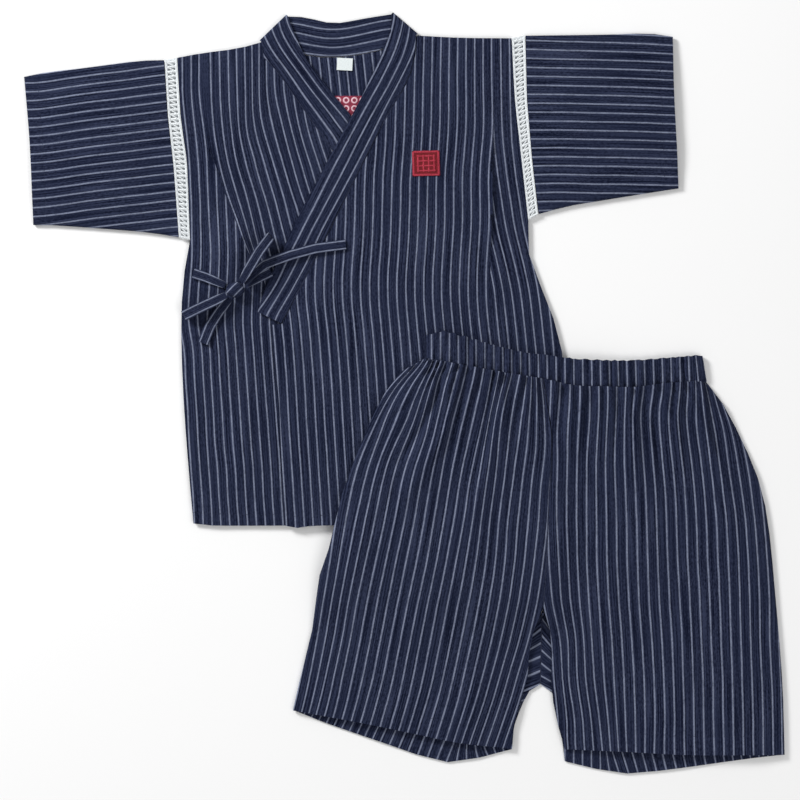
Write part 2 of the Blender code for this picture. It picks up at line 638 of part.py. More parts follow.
def sleeves():
    sleeve("sleeve_right", LACE_RIGHT, CUFF_RIGHT, SLEEVE_TOP_RIGHT, SLEEVE_LOWER_RIGHT, -GAP)
    sleeve("sleeve_left", LACE_LEFT, CUFF_LEFT, SLEEVE_TOP_LEFT, SLEEVE_LOWER_LEFT, GAP)
    levels = (CLOTH * 1.5 + SEAT, CLOTH * 1.5 + SLEEVE_HOLLOW)
    for side, body, outer in (("right", ARMHOLE_RIGHT, LACE_RIGHT), ("left", ARMHOLE_LEFT, LACE_LEFT)):
        lace(f"lace_{side}_front", body, outer, levels, True)
        lace(f"lace_{side}_back", body, outer, levels, False)


def bow(pile):
    """Ties the jacket shut, each strip over those already laid."""
    full, pinched = TIE_WIDTH, TIE_PINCH
    pile = tie("tie_side", TIE_SIDE, (full, full, pinched), pile, count=4)
    pile = tie("tie_front", TIE_FRONT, (full, full, pinched), pile, count=4)
    pile = tie("bow_tail_short", TAIL_SHORT, (pinched, full, full + 1), pile, 0.2, 7)
    pile = tie("bow_tail_long", TAIL_LONG, (pinched, full, full), pile, 0.2, 14)
    pile = loop("bow_loop_lower", LOOP_LOWER, (pinched, full, full), pile)
    pile = loop("bow_loop_upper", LOOP_UPPER, (pinched, full, full), pile)
    return pile


def shorts(pile):
    """Lays the shorts on the table and over the jacket's lower left corner."""
    legs = []
    for way, side, hem, hem_back, crotch, crotch_back, waist in LEG_EDGES:
        front = leg_plan(GATHERS, side, hem, CENTRE_FRONT, crotch, waist, way)
        back = leg_plan(BACK_COLUMNS, side, hem_back, CENTRE_BACK, crotch_back, waist, way)
        legs.append((front, laid(back, pile, CLOTH, 30)))
    on_backs = pile.with_layers(*[(back, CLOTH) for front, back in legs])
    leg("leg_right", *legs[0], on_backs, (60, -150))
    leg("leg_left", *legs[1], on_backs, (220, -150))
    waistband(pile)


def centre_on_origin():
    """Moves the set so that the origin is on the table under the middle of its box."""
    graph = bpy.context.evaluated_depsgraph_get()
    parts = bpy.data.collections["jinbei_set"].objects
    corners = []
    for obj in parts:
        mesh = obj.evaluated_get(graph).to_mesh()
        points = np.empty(len(mesh.vertices) * 3, np.float32)
        mesh.vertices.foreach_get("co", points)
        corners += [points.reshape(-1, 3).min(axis=0), points.reshape(-1, 3).max(axis=0)]
    low, high = np.min(corners, axis=0), np.max(corners, axis=0)
    middle = (low + high) / 2
    for obj in parts:
        obj.location = (-middle[0], -middle[1], 0)
    print("box in mm:", np.round((high - low) / MM, 1), "moved by", np.round(-middle / MM, 2))


def main():
    for obj in list(bpy.data.objects):
        bpy.data.objects.remove(obj)
    collection = bpy.data.collections.new("jinbei_set")
    bpy.context.scene.collection.children.link(collection)
    pile = jacket()
    sleeves()
    knot(pile)
    pile = bow(pile)
    shorts(pile)
    centre_on_origin()


main()
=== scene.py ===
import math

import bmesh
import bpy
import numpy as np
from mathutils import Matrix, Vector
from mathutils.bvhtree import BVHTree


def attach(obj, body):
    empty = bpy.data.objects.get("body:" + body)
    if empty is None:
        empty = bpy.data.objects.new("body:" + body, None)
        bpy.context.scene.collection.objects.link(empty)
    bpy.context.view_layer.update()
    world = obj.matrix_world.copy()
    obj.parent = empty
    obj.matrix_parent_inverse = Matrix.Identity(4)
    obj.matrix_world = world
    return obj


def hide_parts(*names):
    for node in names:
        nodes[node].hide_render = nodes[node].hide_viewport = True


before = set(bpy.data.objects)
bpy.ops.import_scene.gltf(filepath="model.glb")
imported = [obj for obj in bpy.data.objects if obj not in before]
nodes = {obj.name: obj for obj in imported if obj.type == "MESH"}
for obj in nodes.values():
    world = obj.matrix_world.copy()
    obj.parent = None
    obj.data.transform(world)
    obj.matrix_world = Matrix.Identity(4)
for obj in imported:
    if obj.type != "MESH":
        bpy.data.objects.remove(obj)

# %% [markdown]
# # A child's jinbei set, laid out flat
#
# The set is a wrap jacket and a pair of shorts in navy crepe cotton with fine pale stripes.
# The pieces were modelled as solid walls. Here each wall gets a finer mesh on the same form,
# soft folds, a stripe for every stripe of the real cloth, and the sewing that holds it together.
# The tables are in millimetres on the table, X right and Y towards the neck.

MM = 0.001
TABLE_TO_ROW = np.array([0.38, -0.34])  # the row frame's origin is under the middle of the box
STEP = 4.2 * MM  # longest edge of the fine meshes
PITCH = 8.0  # from one stripe to the next
UP = Vector((0, 0, 1))
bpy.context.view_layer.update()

# %% [markdown]
# ## Where the stripes run
#
# The stripes are woven, so they show how each panel was cut and how it has been pulled since.
# Each panel has a few guides: a stripe's number and where it lies at some levels across the panel.
# Between two guides the stripes share the room evenly, which is what easy cloth does. Working from
# guides keeps every stripe whole from edge to edge, where a picture laid over the cloth wouldn't.

# %% Stripe guides
FRONT_RIGHT_SIDE = {
    "levels": [318, 268, 232, 214, 178, 124, 88, 66, 39, 12, -15, -42, -69, -96, -118],
    0: [-192, -192, -188, -186, -184, -183, -186, -187, -182, -181, -179, -178, -176, -174, -173],
    1: [-185, -185, -180, -178, -177, -174, -176, -178, -175, -174, -172, -171, -168, -167, -165],
    7: [-134, -134, -130, -129, -129, -128, -129, -130, -128, -126, -124, -122, -120, -119, -117],
}
FRONT_RIGHT_INNER = {
    "levels": [318, 268, 250, 232, 214, 196, 178, 160, 142, 110],
    2: [-175, -174, -173, -171, -168, -164, -159, -152, -146, -134],
    4: [-159, -158, -157, -155, -153, -148, -142, -138, -134, -126],
    6: [-144, -143, -143, -142, -136, -132, -126, -121, -117, -108],
    8: [-131, -131, -130, -126, -120, -115, -109, -105, -100, -92],
    10: [-118, -117, -112, -108, -103, -98, -93, -85, -80, -72],
    13: [-94, -92, -90, -86, -80, -74, -69, -62, -56, -48],
}
FRONT_LEFT_INNER = {
    "levels": [322, 287, 242, 219, 197, 152, 129, 107, 84, 62, 39, 12, -28, -73, -121],
    -12: [-91, -90, -90, -91, -93, -94, -95, -97, -97, -94, -92, -90, -88, -85, -82],
    0: [10, 9, 8, 7, 5, 4, 3, 1, 1, 3, 5, 7, 10, 12, 15],
    9: [78, 78, 79, 77, 75, 76, 74, 73, 73, 75, 78, 80, 83, 86, 90],
}
FRONT_LEFT_SIDE = {
    "levels": [322, 255, 228, 201, 174, 147, 120, 93, 66, 39, -40, -121],
    9: [46, 47, 48, 50, 55, 61, 68, 73, 75, 78, 82, 90],
    12: [70, 71, 72, 75, 79, 83, 90, 96, 99, 102, 106, 112],
    14: [86, 87, 88, 91, 95, 99, 106, 112, 115, 118, 122, 128],
}
SLEEVE_RIGHT = {
    "levels": [-342, -328, -310, -283, -256, -229, -205],
    0: [279, 279, 282, 286, 289, 293, 296],
    15: [158.5, 159, 161, 165, 168, 171, 174],
}
SLEEVE_LEFT = {
    "levels": [109, 140, 167, 194, 221, 246],
    0: [317.5, 316.3, 315.8, 315, 314, 312.5],
    17: [180, 181, 180, 180, 179.5, 179],
}
LEG_RIGHT = {
    "levels": [31, 12, -6, -24, -42, -60, -78, -114, -150, -186, -222, -258, -276, -331],
    1: [119, 122, 124, 125, 126, 125, 122, 120, 116, 111, 103, 92, 87, 68],
    4: [112, 109, 107, 104, 102, 99, 97, 92, 90, 85, 78, 69, 64, 45],
    6: [98, 95, 89, 86, 84, 83, 81, 76, 73, 67, 60, 52, 48, 31],
    9: [80, 77, 74, 70, 66, 62, 58, 53, 46, 39, 32, 25, 20, 3],
    12: [57, 53, 48, 43, 39, 35, 32, 26, 20, 12, 5, -2, -6, -22],
    15: [38, 29, 26, 22, 18, 11, 6, 0, -8, -15, -22, -29, -34, -50],
    18: [27, 16, 8, 2, -7, -15, -20, -27, -35, -43, -49, -57, -60, -76],
    20: [20, 1, -10, -18, -24, -31, -36, -44, -51, -58, -64, -72, -76, -92],
    22: [13, -9, -22, -32, -42, -50, -56, -62, -67, -73, -79, -86, -90, -104],
}
LEG_LEFT = {
    "levels": [14, 3, -15, -33, -60, -87, -114, -150, -186, -222, -258, -294, -316, -342],
    0: [281, 288, 299, 308, 316, 320, 323, 326, 328, 328, 330, 331, 331, 332],
    3: [273, 277, 282, 287, 290, 294, 298, 300, 301, 302, 303, 304, 304, 305],
    6: [261, 262, 261, 262, 266, 269, 271, 272, 274, 275, 277, 277, 278, 278],
    9: [240, 240, 236, 237, 240, 243, 244, 245, 247, 249, 250, 251, 251, 252],
    12: [214, 215, 211, 212, 214, 216, 217, 218, 219, 222, 224, 225, 224, 224],
    15: [190, 190, 190, 189, 188, 189, 190, 190, 192, 195, 197, 198, 199, 200],
    18: [165, 166, 166, 165, 163, 163, 163, 163, 165, 168, 170, 175, 177, 180],
    21: [140, 139, 138, 136, 137, 136, 136, 138, 140, 147, 147, 153, 153, 156],
    22: [131, 131, 130, 129, 129, 128, 128, 129, 132, 140, 142, 146, 146, 150],
}
HEM_BACK_RIGHT = {
    "levels": [-270, -300, -315, -330, -360],
    0: [-2, -16, -23, -30, -44],
    4: [32, 21, 15.5, 10, -1],
    7: [62, 50, 44, 38, 27],
    9: [67, 58, 55, 55.5, 57],
    11: [77, 70, 69, 77, 95],
}
HEM_BACK_LEFT = {
    "levels": [-290, -318, -330, -342, -370],
    0: [176, 176, 176, 176, 176],
    2: [181, 185, 189, 193, 202],
    6: [214, 221, 224, 227, 234],
    12: [272, 277, 279.5, 281.5, 287],
}
CROTCH_RIGHT = {  # turned: levels along X, stripes' places in Y
    "levels": [60, 124, 164],
    0: [-266, -195.5, -151.5],
    1: [-259, -211, -181],
    2: [-260, -224, -201],
    3: [-263, -236, -220],
    4: [-274, -249, -233],
    5: [-287, -261, -245],
}
CROTCH_LEFT = {
    "levels": [84, 124, 188],
    0: [-150, -203, -288],
    1: [-172, -218.5, -294],
    2: [-196, -232, -290],
    3: [-213, -244, -294],
    4: [-233, -255, -290],
}
# Where the back wall of each leg shows: outline, guides, whether they are turned
LEG_BACKS = {
    "leg_right": [
        ([(-100, -284), (-41, -291), (33, -305), (104, -314), (112, -322), (60, -345), (-100, -345)],
         HEM_BACK_RIGHT, False),
        ([(124, -186), (108, -203), (106, -240), (103, -290), (126, -290)], CROTCH_RIGHT, True),
    ],
    "leg_left": [
        ([(140, -315), (345, -317), (350, -360), (140, -360)], HEM_BACK_LEFT, False),
        ([(122, -186), (130, -190), (139, -215), (141, -240), (148, -290), (122, -290)], CROTCH_LEFT, True),
    ],
}
BACK_WALL_TOP = 2.0  # height that parts the back wall of a leg from the front one
WAISTBAND = {
    "levels": [60, 0],
    0: [40, 40],
    28: [262, 264],
}

# The collar's edges, sewn to the body along one and free along the other, in three stretches
COLLAR_SEAMS = [
    [(10, 109), (-18, 150), (-40, 183), (-65, 219), (-91, 256), (-114, 289), (-126, 301), (-129, 316)],
    [(-129, 316), (-91, 305), (-58, 303), (-19, 310), (10, 322)],
    [(10, 322), (8, 300), (1, 279), (-16, 250), (-34, 215), (-69, 145), (-89, 105), (-111, 63)],
]
COLLAR_FREES = [
    [
        (31, 121), (-4, 172), (-25.7, 206), (-40, 236.5), (-49, 250.5), (-55.5, 258.5),
        (-62.3, 266.4), (-69, 274.3), (-81, 290), (-91, 305), (-102, 330), (-105, 339),
    ],
    [(-105, 339), (-89, 338), (-64, 333), (-37, 337), (-12, 341)],
    [(-12, 341), (-11, 329), (-19, 310), (-38, 268), (-64, 219), (-94, 162), (-124, 97), (-132, 73)],
]
COLLAR_JOINS = [[(-91, 305), (-102, 330), (-105, 339)], [(-12, 341), (-11, 329), (-19, 310)]]
COLLAR_CUT = [(31, 121), (-4, 172), (-27, 205), (-51, 241), (-79, 287), (-91, 305)]
COLLAR_SWING = {"levels": [196, 212, 232, 246, 255, 264, 273, 290], "out": [0, 3, 6.8, 6.8, 5.4, 3.6, 2, 0]}
COLLAR_CROSSING = 4.6  # height that parts the collar's upper stretch from the lower one
COLLAR_RIGHT = {
    "levels": [336, 327, 318, 309, 291, 273, 255, 237, 223.5],
    0: [-107.5, -103.5, -98, -92, -79, -66.5, -50.5, -36.5, -27],
    1: [-114.5, -112, -108, -102.5, -89, -76.5, -60.5, -46.5, -36.5],
    2: [-123, -118.5, -116.5, -111, -97.5, -84.5, -69.5, -57, -46.5],
    3: [-132, -128.5, -124.5, -121, -106, -94.5, -81.5, -68, -57.5],
    4: [-141, -137.5, -134, -131, -118.5, -106.5, -94, -81, -72],
}
JACKET_BACK = {
    "levels": [330, 300, 268, 240],
    0: [-48, -45, -41.5, -39],
}
COLLAR_BACK = {
    "levels": [-108, -94.5, -76.5, -63, -49.5, -31.5, -13.5],
    0: [334, 332, 328, 326.5, 328.5, 332.5, 336.5],
    1: [326, 324, 319.5, 318.5, 320.5, 324.5, 328.5],
    2: [317, 315.5, 311.5, 310.5, 312.5, 316, 320.5],
    3: [308, 307, 304, 303.5, 304.5, 307.5, 310.5],
}
COLLAR_LEFT = {
    "levels": [336, 309, 282, 255, 228, 201, 174, 147, 120, 102, 84, 66],
    0: [-9, -17, -30.5, -46, -61, -76, -90, -103.5, -116, -124, -133, -147.5],
    1: [-0.5, -8, -21, -36, -50.5, -65, -78, -92, -105.5, -112.5, -124, -138],
    2: [5.5, 1, -11.5, -27, -41.5, -54.5, -69, -83.5, -96, -105, -115.5, -127],
    3: [13, 9, -4, -18.5, -31.5, -45.5, -60, -74.5, -86.5, -96.5, -106, -118],
}

# The paths of the ties, from the knot out
TIES = {
    "tie_side": [(-161, 97), (-178, 104), (-190, 108)],
    "tie_front": [(-143, 97), (-130, 104), (-120, 109)],
    "bow_loop_lower": [(-160, 88), (-172, 82), (-185, 76), (-200, 69)],
    "bow_loop_upper": [(-146, 100), (-139, 112), (-130, 127), (-120, 141)],
    "bow_tail_long": [(-144, 99), (-126, 115), (-102, 124), (-80, 130), (-53, 133.5)],
    "bow_tail_short": [(-157, 85), (-166, 74), (-175, 60), (-181, 45)],
    "bow_knot": [(-159, 86), (-152, 93), (-145, 100)],
}
TIE_STRIPES = 6.8  # between the two stripes of a tie

# The pressed tucks that stripes end on
TUCK_RIGHT = [(-180, 318), (-179, 250), (-175, 220), (-160, 175), (-143, 132), (-112, 72), (-94, -121)]
TUCK_LEFT = [(80, 322), (80, 230), (79, 200), (79, 165), (77, 130), (77, 96), (86, -121)]


# %% Reading the guides
def to_table(points):
    """Places in the row frame, in metres, as millimetres on the table."""
    return points[:, :2] / MM - TABLE_TO_ROW


def to_row(points):
    return (np.asarray(points, float) + TABLE_TO_ROW) * MM


def guide_numbers(guides, xy, turned=False):
    """Stripe number at each place. turned is for stripes that run along X."""
    across, along = (xy[:, 1], xy[:, 0]) if turned else (xy[:, 0], xy[:, 1])
    levels = np.array(guides["levels"], float)
    order = np.argsort(levels)
    numbers = sorted(key for key in guides if key != "levels")
    fine = np.arange(levels.min() - 60, levels.max() + 60, 4.0)
    window = np.hanning(11)
    places = []
    for number in numbers:
        line = np.interp(fine, levels[order], np.array(guides[number], float)[order])
        soft = np.convolve(np.pad(line, 5, "edge"), window / window.sum(), "valid")
        places.append(np.interp(along, fine, soft))
    places, numbers = np.array(places), np.array(numbers, float)
    if len(numbers) == 1:
        return numbers[0] + (across - places[0]) / PITCH
    if places[0].mean() > places[-1].mean():
        places, numbers = places[::-1], numbers[::-1]
    found = np.full(len(across), np.nan)
    for i in range(len(numbers) - 1):
        part = (across - places[i]) / (places[i + 1] - places[i])
        here = (part >= 0) & (part < 1)
        found[here] = (numbers[i] + part * (numbers[i + 1] - numbers[i]))[here]
    way = np.sign(numbers[1] - numbers[0])
    before = numbers[0] + way * (across - places[0]) / PITCH
    after = numbers[-1] + way * (across - places[-1]) / PITCH
    found = np.where(np.isnan(found) & (across < places[0]), before, found)
    return np.where(np.isnan(found), after, found)


def from_path(path, xy):
    """Distance along a path, and signed distance off it, to the left positive."""
    path = np.asarray(path, float)
    best = np.full(len(xy), 1e9)
    along, aside = np.zeros(len(xy)), np.zeros(len(xy))
    walked = 0.0
    for start, end in zip(path[:-1], path[1:]):
        step = end - start
        length = np.linalg.norm(step)
        step = step / length
        reach = np.clip((xy - start) @ step, 0, length)
        gap = xy - start - reach[:, None] * step
        distance = np.linalg.norm(gap, axis=1)
        side = np.sign(step[0] * gap[:, 1] - step[1] * gap[:, 0])
        near = distance < best
        best = np.where(near, distance, best)
        along = np.where(near, walked + reach, along)
        aside = np.where(near, distance * side, aside)
        walked += length
    return along, aside


def left_of(path, xy):
    """True where a place is left of a path drawn downwards."""
    path = np.asarray(path, float)[::-1]
    return xy[:, 0] < np.interp(xy[:, 1], path[:, 1], path[:, 0])


def inside(outline, xy):
    """True where a place is within an outline."""
    result = np.zeros(len(xy), bool)
    for (x0, y0), (x1, y1) in zip(outline, outline[1:] + outline[:1]):
        if y0 != y1:
            crosses = (xy[:, 1] < y0) != (xy[:, 1] < y1)
            result ^= crosses & (xy[:, 0] < x0 + (xy[:, 1] - y0) * (x1 - x0) / (y1 - y0))
    return result


def collar_place(xy, centres, z):
    """Across and along the collar, for places on faces whose centres tell which stretch they are in."""
    across = [
        guide_numbers(COLLAR_RIGHT, xy),
        guide_numbers(COLLAR_BACK, xy, turned=True),
        guide_numbers(COLLAR_LEFT, xy),
    ]
    along, held = [], []
    for seam, free in zip(COLLAR_SEAMS, COLLAR_FREES):
        along.append(from_path(free, xy)[0])
        held.append((from_path(seam, centres)[1] < 0.9) & (from_path(free, centres)[1] > -0.2))
    lower, upper = held[0], held[2]
    lower &= ~(upper & (z > COLLAR_CROSSING))
    pick = np.where(lower, 0, np.where(upper, 2, 1))
    return np.choose(pick, across) * PITCH, np.choose(pick, along) + pick * 300


# %% [markdown]
# ## Cloth on the solid's form
#
# The real walls are about 0.4 mm of crepe. The solid walls are coarse, with facets up to 20 mm wide.
# Here every wall is divided into edges of about 4 mm, and its facets are eased in height only, so
# the outline and the stack of layers stay as they are. Only the waistband's upper edge and the free
# edge of the collar's lower stretch are moved aside. Where another layer lies on top the cloth is
# held to its place, because a fold there would come up through what covers it.

# %% Mesh helpers
def row_tree(names):
    """One search tree for several CAD nodes."""
    verts, faces = [], []
    for name in names:
        mesh = nodes[name].data
        base = len(verts)
        verts += [v.co.copy() for v in mesh.vertices]
        faces += [[base + i for i in p.vertices] for p in mesh.polygons]
    return BVHTree.FromPolygons(verts, faces)


def cut_along(bm, path):
    """Cuts the faces that a path crosses, so that the two sides can hold different stripes."""
    ends = to_row(path)
    for start, end in zip(ends[:-1], ends[1:]):
        way = end - start
        low, high = min(start[1], end[1]), max(start[1], end[1])
        near = []
        for face in bm.faces:
            xs = [v.co.x for v in face.verts]
            ys = [v.co.y for v in face.verts]
            if max(ys) > low and min(ys) < high and max(xs) > min(start[0], end[0]) - 0.004:
                if min(xs) < max(start[0], end[0]) + 0.004:
                    near.append(face)
        parts = {e for f in near for e in f.edges} | {v for f in near for v in f.verts} | set(near)
        bmesh.ops.bisect_plane(
            bm, geom=list(parts), dist=2e-5, plane_co=(*start, 0), plane_no=(-way[1], way[0], 0)
        )


def divided(points, faces, step):
    """Triangles split, by one, two or three of their edges, until no edge is longer than step."""
    for _ in range(10):
        edges = np.sort(faces[:, [0, 1, 1, 2, 2, 0]].reshape(-1, 2), axis=1)
        edges, which = np.unique(edges, axis=0, return_inverse=True)
        long = np.linalg.norm(points[edges[:, 0]] - points[edges[:, 1]], axis=1) > step
        if not long.any():
            break
        middle = np.full(len(edges), -1)
        middle[long] = len(points) + np.arange(long.sum())
        points = np.vstack([points, points[edges[long]].mean(axis=1)])
        cuts = middle[which.ravel()].reshape(-1, 3)
        split = cuts >= 0
        made = [faces[split.sum(axis=1) == 0]]
        for count in (1, 2, 3):
            rows = np.flatnonzero(split.sum(axis=1) == count)
            first = {1: split.argmax(axis=1), 2: split.argmin(axis=1) + 1, 3: 0 * split.sum(axis=1)}
            turn = (first[count][rows][:, None] + np.arange(3)) % 3
            a, b, c = faces[rows[:, None], turn].T
            ab, bc, ca = cuts[rows[:, None], turn].T
            if count == 1:
                made += [np.stack(f, axis=1) for f in ((a, ab, c), (ab, b, c))]
            elif count == 3:
                made += [np.stack(f, axis=1) for f in ((a, ab, ca), (ab, b, bc), (ca, bc, c), (ab, bc, ca))]
            else:
                across = np.linalg.norm(points[a] - points[bc], axis=1)
                near = across < np.linalg.norm(points[ab] - points[c], axis=1)
                made += [np.stack((ab, b, bc), axis=1)]
                made += [np.stack(f, axis=1)[near] for f in ((a, ab, bc), (a, bc, c))]
                made += [np.stack(f, axis=1)[~near] for f in ((a, ab, c), (ab, bc, c))]
        faces = np.vstack(made)
    return points, faces


def fine_mesh(node, name, tucks=(), step=STEP):
    """A new object on a CAD node's form, with edges no longer than step."""
    bm = bmesh.new()
    bm.from_mesh(nodes[node].data)
    bmesh.ops.remove_doubles(bm, verts=bm.verts, dist=2e-6)
    for path in tucks:
        cut_along(bm, path)
    bmesh.ops.triangulate(bm, faces=bm.faces)
    bm.verts.index_update()
    points = np.array([v.co for v in bm.verts])
    faces = np.array([[v.index for v in f.verts] for f in bm.faces])
    bm.free()
    points, faces = divided(points, faces, step)
    mesh = bpy.data.meshes.new(name)
    mesh.from_pydata(points.tolist(), [], faces.tolist())
    obj = bpy.data.objects.new(name, mesh)
    bpy.context.scene.collection.objects.link(obj)
    return obj


def points_of(mesh):
    flat = np.empty(len(mesh.vertices) * 3)
    mesh.vertices.foreach_get("co", flat)
    return flat.reshape(-1, 3)


def move_points(obj, points):
    obj.data.vertices.foreach_set("co", points.ravel())
    obj.data.update()


def links_of(mesh):
    flat = np.empty(len(mesh.edges) * 2, int)
    mesh.edges.foreach_get("vertices", flat)
    return flat.reshape(-1, 2)


def eased(values, links, rounds):
    """Each value drawn towards its neighbours' mean, several times over."""
    count = len(values)
    degree = np.bincount(links.ravel(), minlength=count)
    for _ in range(rounds):
        total = np.bincount(links[:, 0], values[links[:, 1]], count)
        total += np.bincount(links[:, 1], values[links[:, 0]], count)
        values = (values + total) / (1 + degree)
    return values


def surfaces_above(tree, point, most=4):
    count = 0
    start = point
    while count < most:
        hit = tree.ray_cast(start, UP, 0.05)[0]
        if hit is None:
            return count
        count += 1
        start = hit + UP * 2e-5
    return count


def shape_cloth(obj, node, relief, rounds=14, above=(), free_fall=0.3):
    """Eases a piece's facets and adds its folds. above names the nodes that may lie on it."""
    mesh = obj.data
    points, links = points_of(mesh), links_of(mesh)
    own = row_tree([node])
    cover = row_tree(above) if above else None
    front = np.zeros(len(points))
    free = np.ones(len(points))
    for i, vert in enumerate(mesh.vertices):
        inward = Vector((vert.normal.x, vert.normal.y, 0)) * -0.0003
        place = vert.co + inward + UP * 5e-5
        front[i] = surfaces_above(own, place) <= 1
        if cover and cover.ray_cast(place, UP, 0.03)[0] is not None:
            free[i] = 0.0
    span = points[links[:, 1]] - points[links[:, 0]]
    flat = np.abs(span[:, 2]) < 0.75 * np.linalg.norm(span, axis=1)
    height = eased(points[:, 2], links[flat], rounds) - points[:, 2]
    open_part = np.minimum(free, np.clip(2 * eased(free, links, 5) - 1, 0, 1))
    limit = 0.12 * MM + open_part * 0.5 * MM
    height = np.clip(height, -np.minimum(limit, free_fall * MM), limit)
    height += relief(to_table(points)) * MM * open_part * front
    points[:, 2] = np.maximum(points[:, 2] + height, np.where(points[:, 2] < 2e-5, 0, 2e-5))
    move_points(obj, points)


def paint_places(obj, numbers, along, pitch=PITCH):
    """Writes the cloth's own places, across and along its stripes, in metres."""
    mesh = obj.data
    corner = np.empty(len(mesh.loops), int)
    mesh.loops.foreach_get("vertex_index", corner)
    layer = mesh.uv_layers.new(name="cloth") if not mesh.uv_layers else mesh.uv_layers[0]
    layer.name = "cloth"
    if len(numbers) == len(mesh.vertices):
        numbers = numbers[corner]
    if len(along) == len(mesh.vertices):
        along = along[corner]
    values = np.stack([numbers * pitch * MM, along * MM], axis=1)
    layer.uv.foreach_set("vector", values.ravel())
    for polygon in mesh.polygons:
        polygon.use_smooth = True
    mesh.set_sharp_from_angle(angle=math.radians(50))


def faces_of(mesh):
    """The vertex at every face corner, and the centre of the face that each corner belongs to."""
    centres = np.empty(len(mesh.polygons) * 3)
    mesh.polygons.foreach_get("center", centres)
    totals = np.empty(len(mesh.polygons), int)
    mesh.polygons.foreach_get("loop_total", totals)
    corner = np.empty(len(mesh.loops), int)
    mesh.loops.foreach_get("vertex_index", corner)
    return corner, np.repeat(centres.reshape(-1, 3), totals, axis=0)


def side_by_corner(obj, path, left_numbers, right_numbers):
    """Numbers for every face corner, from one table left of a tuck and another right of it."""
    corner, centres = faces_of(obj.data)
    return np.where(left_of(path, to_table(centres)), left_numbers[corner], right_numbers[corner])


# %% [markdown]
# ## Folds
#
# Each fold is a soft ridge or trough with its own ends, height and width. A pressed tuck rises
# sharply on one side and runs out on the other. The shorts' gathers follow the stripes down from
# the elastic and die out unevenly, so their height comes from the stripe number and the distance
# below the waist.

# %% Fold tables
RIDGES = {  # path, height (a trough's is negative), half width
    "front_right": [
        ([(-196, 205), (-190, 150)], 0.8, 7), ([(-186, 60), (-190, -60)], 0.9, 9),
        ([(-165, 70), (-160, -20)], 0.8, 10), ([(-140, 40), (-146, -90)], 0.7, 9),
        ([(-120, 250), (-100, 180)], 0.6, 9), ([(-150, 290), (-146, 240)], 0.6, 8),
    ],
    "front_left": [
        ([(96, 130), (70, 60)], 1.0, 8), ([(120, 90), (96, 50)], 0.8, 8),
        ([(20, 290), (26, 180)], 0.7, 10), ([(52, 250), (46, 120)], 0.6, 9),
        ([(-8, 120), (-2, 40)], 0.6, 10), ([(-90, 100), (-50, 40)], 0.9, 9),
        ([(-98, 20), (-92, -90)], 0.7, 8), ([(-60, 40), (-56, -60)], 0.6, 10),
        ([(-118, 84), (-84, 96)], 0.9, 6),
    ],
    "sleeve_right": [
        ([(-326, 250), (-240, 262)], 0.6, 10), ([(-320, 200), (-226, 212)], 0.6, 9),
        ([(-300, 172), (-226, 168)], 0.8, 8),
    ],
    "sleeve_left": [
        ([(130, 290), (232, 286)], 0.6, 10), ([(124, 236), (220, 228)], 0.6, 10),
        ([(140, 192), (214, 202)], 0.8, 8),
    ],
    "leg_right": [
        ([(37, 10), (40, -22)], 2.2, 4.5), ([(44, -20), (18, -62)], 2.0, 6),
        ([(30, -40), (-2, -100)], 1.6, 7), ([(92, 8), (86, -34)], 1.8, 5),
        ([(80, -34), (60, -118)], 1.6, 7), ([(10, 10), (-22, -40)], 1.4, 5),
        ([(-30, -90), (-62, -200)], 1.2, 9), ([(20, -150), (-4, -250)], 1.0, 10),
        ([(70, -190), (56, -290)], 0.9, 9), ([(110, 0), (112, -70)], 1.2, 5),
        ([(29, 28), (31, 4), (17, -28), (-9, -69)], -3.2, 3.4),
        ([(81, 20), (76, -28), (60, -96)], -3.0, 3.4), ([(14, 18), (2, -10), (-20, -34)], -1.6, 3),
        ([(54, 22), (48, -14), (36, -60)], -1.6, 3), ([(104, 16), (99, -20), (92, -64)], -1.7, 3),
        ([(4, -60), (-30, -130)], -1.3, 5), ([(40, -80), (22, -160)], -1.2, 5),
    ],
    "leg_left": [
        ([(150, 4), (146, -60)], 1.3, 5), ([(176, 2), (172, -80)], 1.5, 5.5),
        ([(204, 2), (206, -70)], 1.2, 5), ([(232, 4), (248, -70)], 1.4, 6),
        ([(254, 4), (290, -90)], 1.6, 6), ([(300, -90), (320, -200)], 1.0, 9),
        ([(180, -110), (186, -260)], 0.9, 10), ([(250, -150), (262, -290)], 0.9, 10),
        ([(150, -220), (168, -300)], 0.8, 8),
        ([(163, 6), (160, -34), (156, -84)], -1.6, 3), ([(190, 5), (189, -30), (186, -70)], -1.5, 3),
        ([(218, 7), (224, -34), (232, -84)], -1.8, 3.2), ([(244, 9), (262, -30), (284, -92)], -1.6, 3.4),
        ([(142, 6), (139, -40)], -1.3, 3), ([(300, -100), (312, -180)], -1.1, 6),
    ],
}
TUCKS = {  # path, height of the edge, reach of its slope, side that the slope lies on
    "front_right": (TUCK_RIGHT, 2.3, 9, 1),
    "front_left": (TUCK_LEFT, 2.9, 9, -1),
}
WAIST_SEAM = [
    (22, 31.5), (54, 26), (87, 20), (124, 14), (152, 8), (179, 7), (207, 6.5), (234, 10), (268, 12.5),
    (272, 12.8),
]
BAND_HEIGHT = 26
EDGE_DRAW = 0.95  # how far a gather draws the waistband's upper edge in, at most twice over
CORNER_REACH, CORNER_DROP = 7, 2.6  # of the waistband's two rounded upper corners
LEAN_REACH, LEAN = 14, 3.4  # of the waistband's right end
CENTRE_SEAM = [(124, 14), (132, -42), (129, -96), (127, -150), (124, -193)]
CROTCH_SEAM = [(124, -197), (124, -262)]
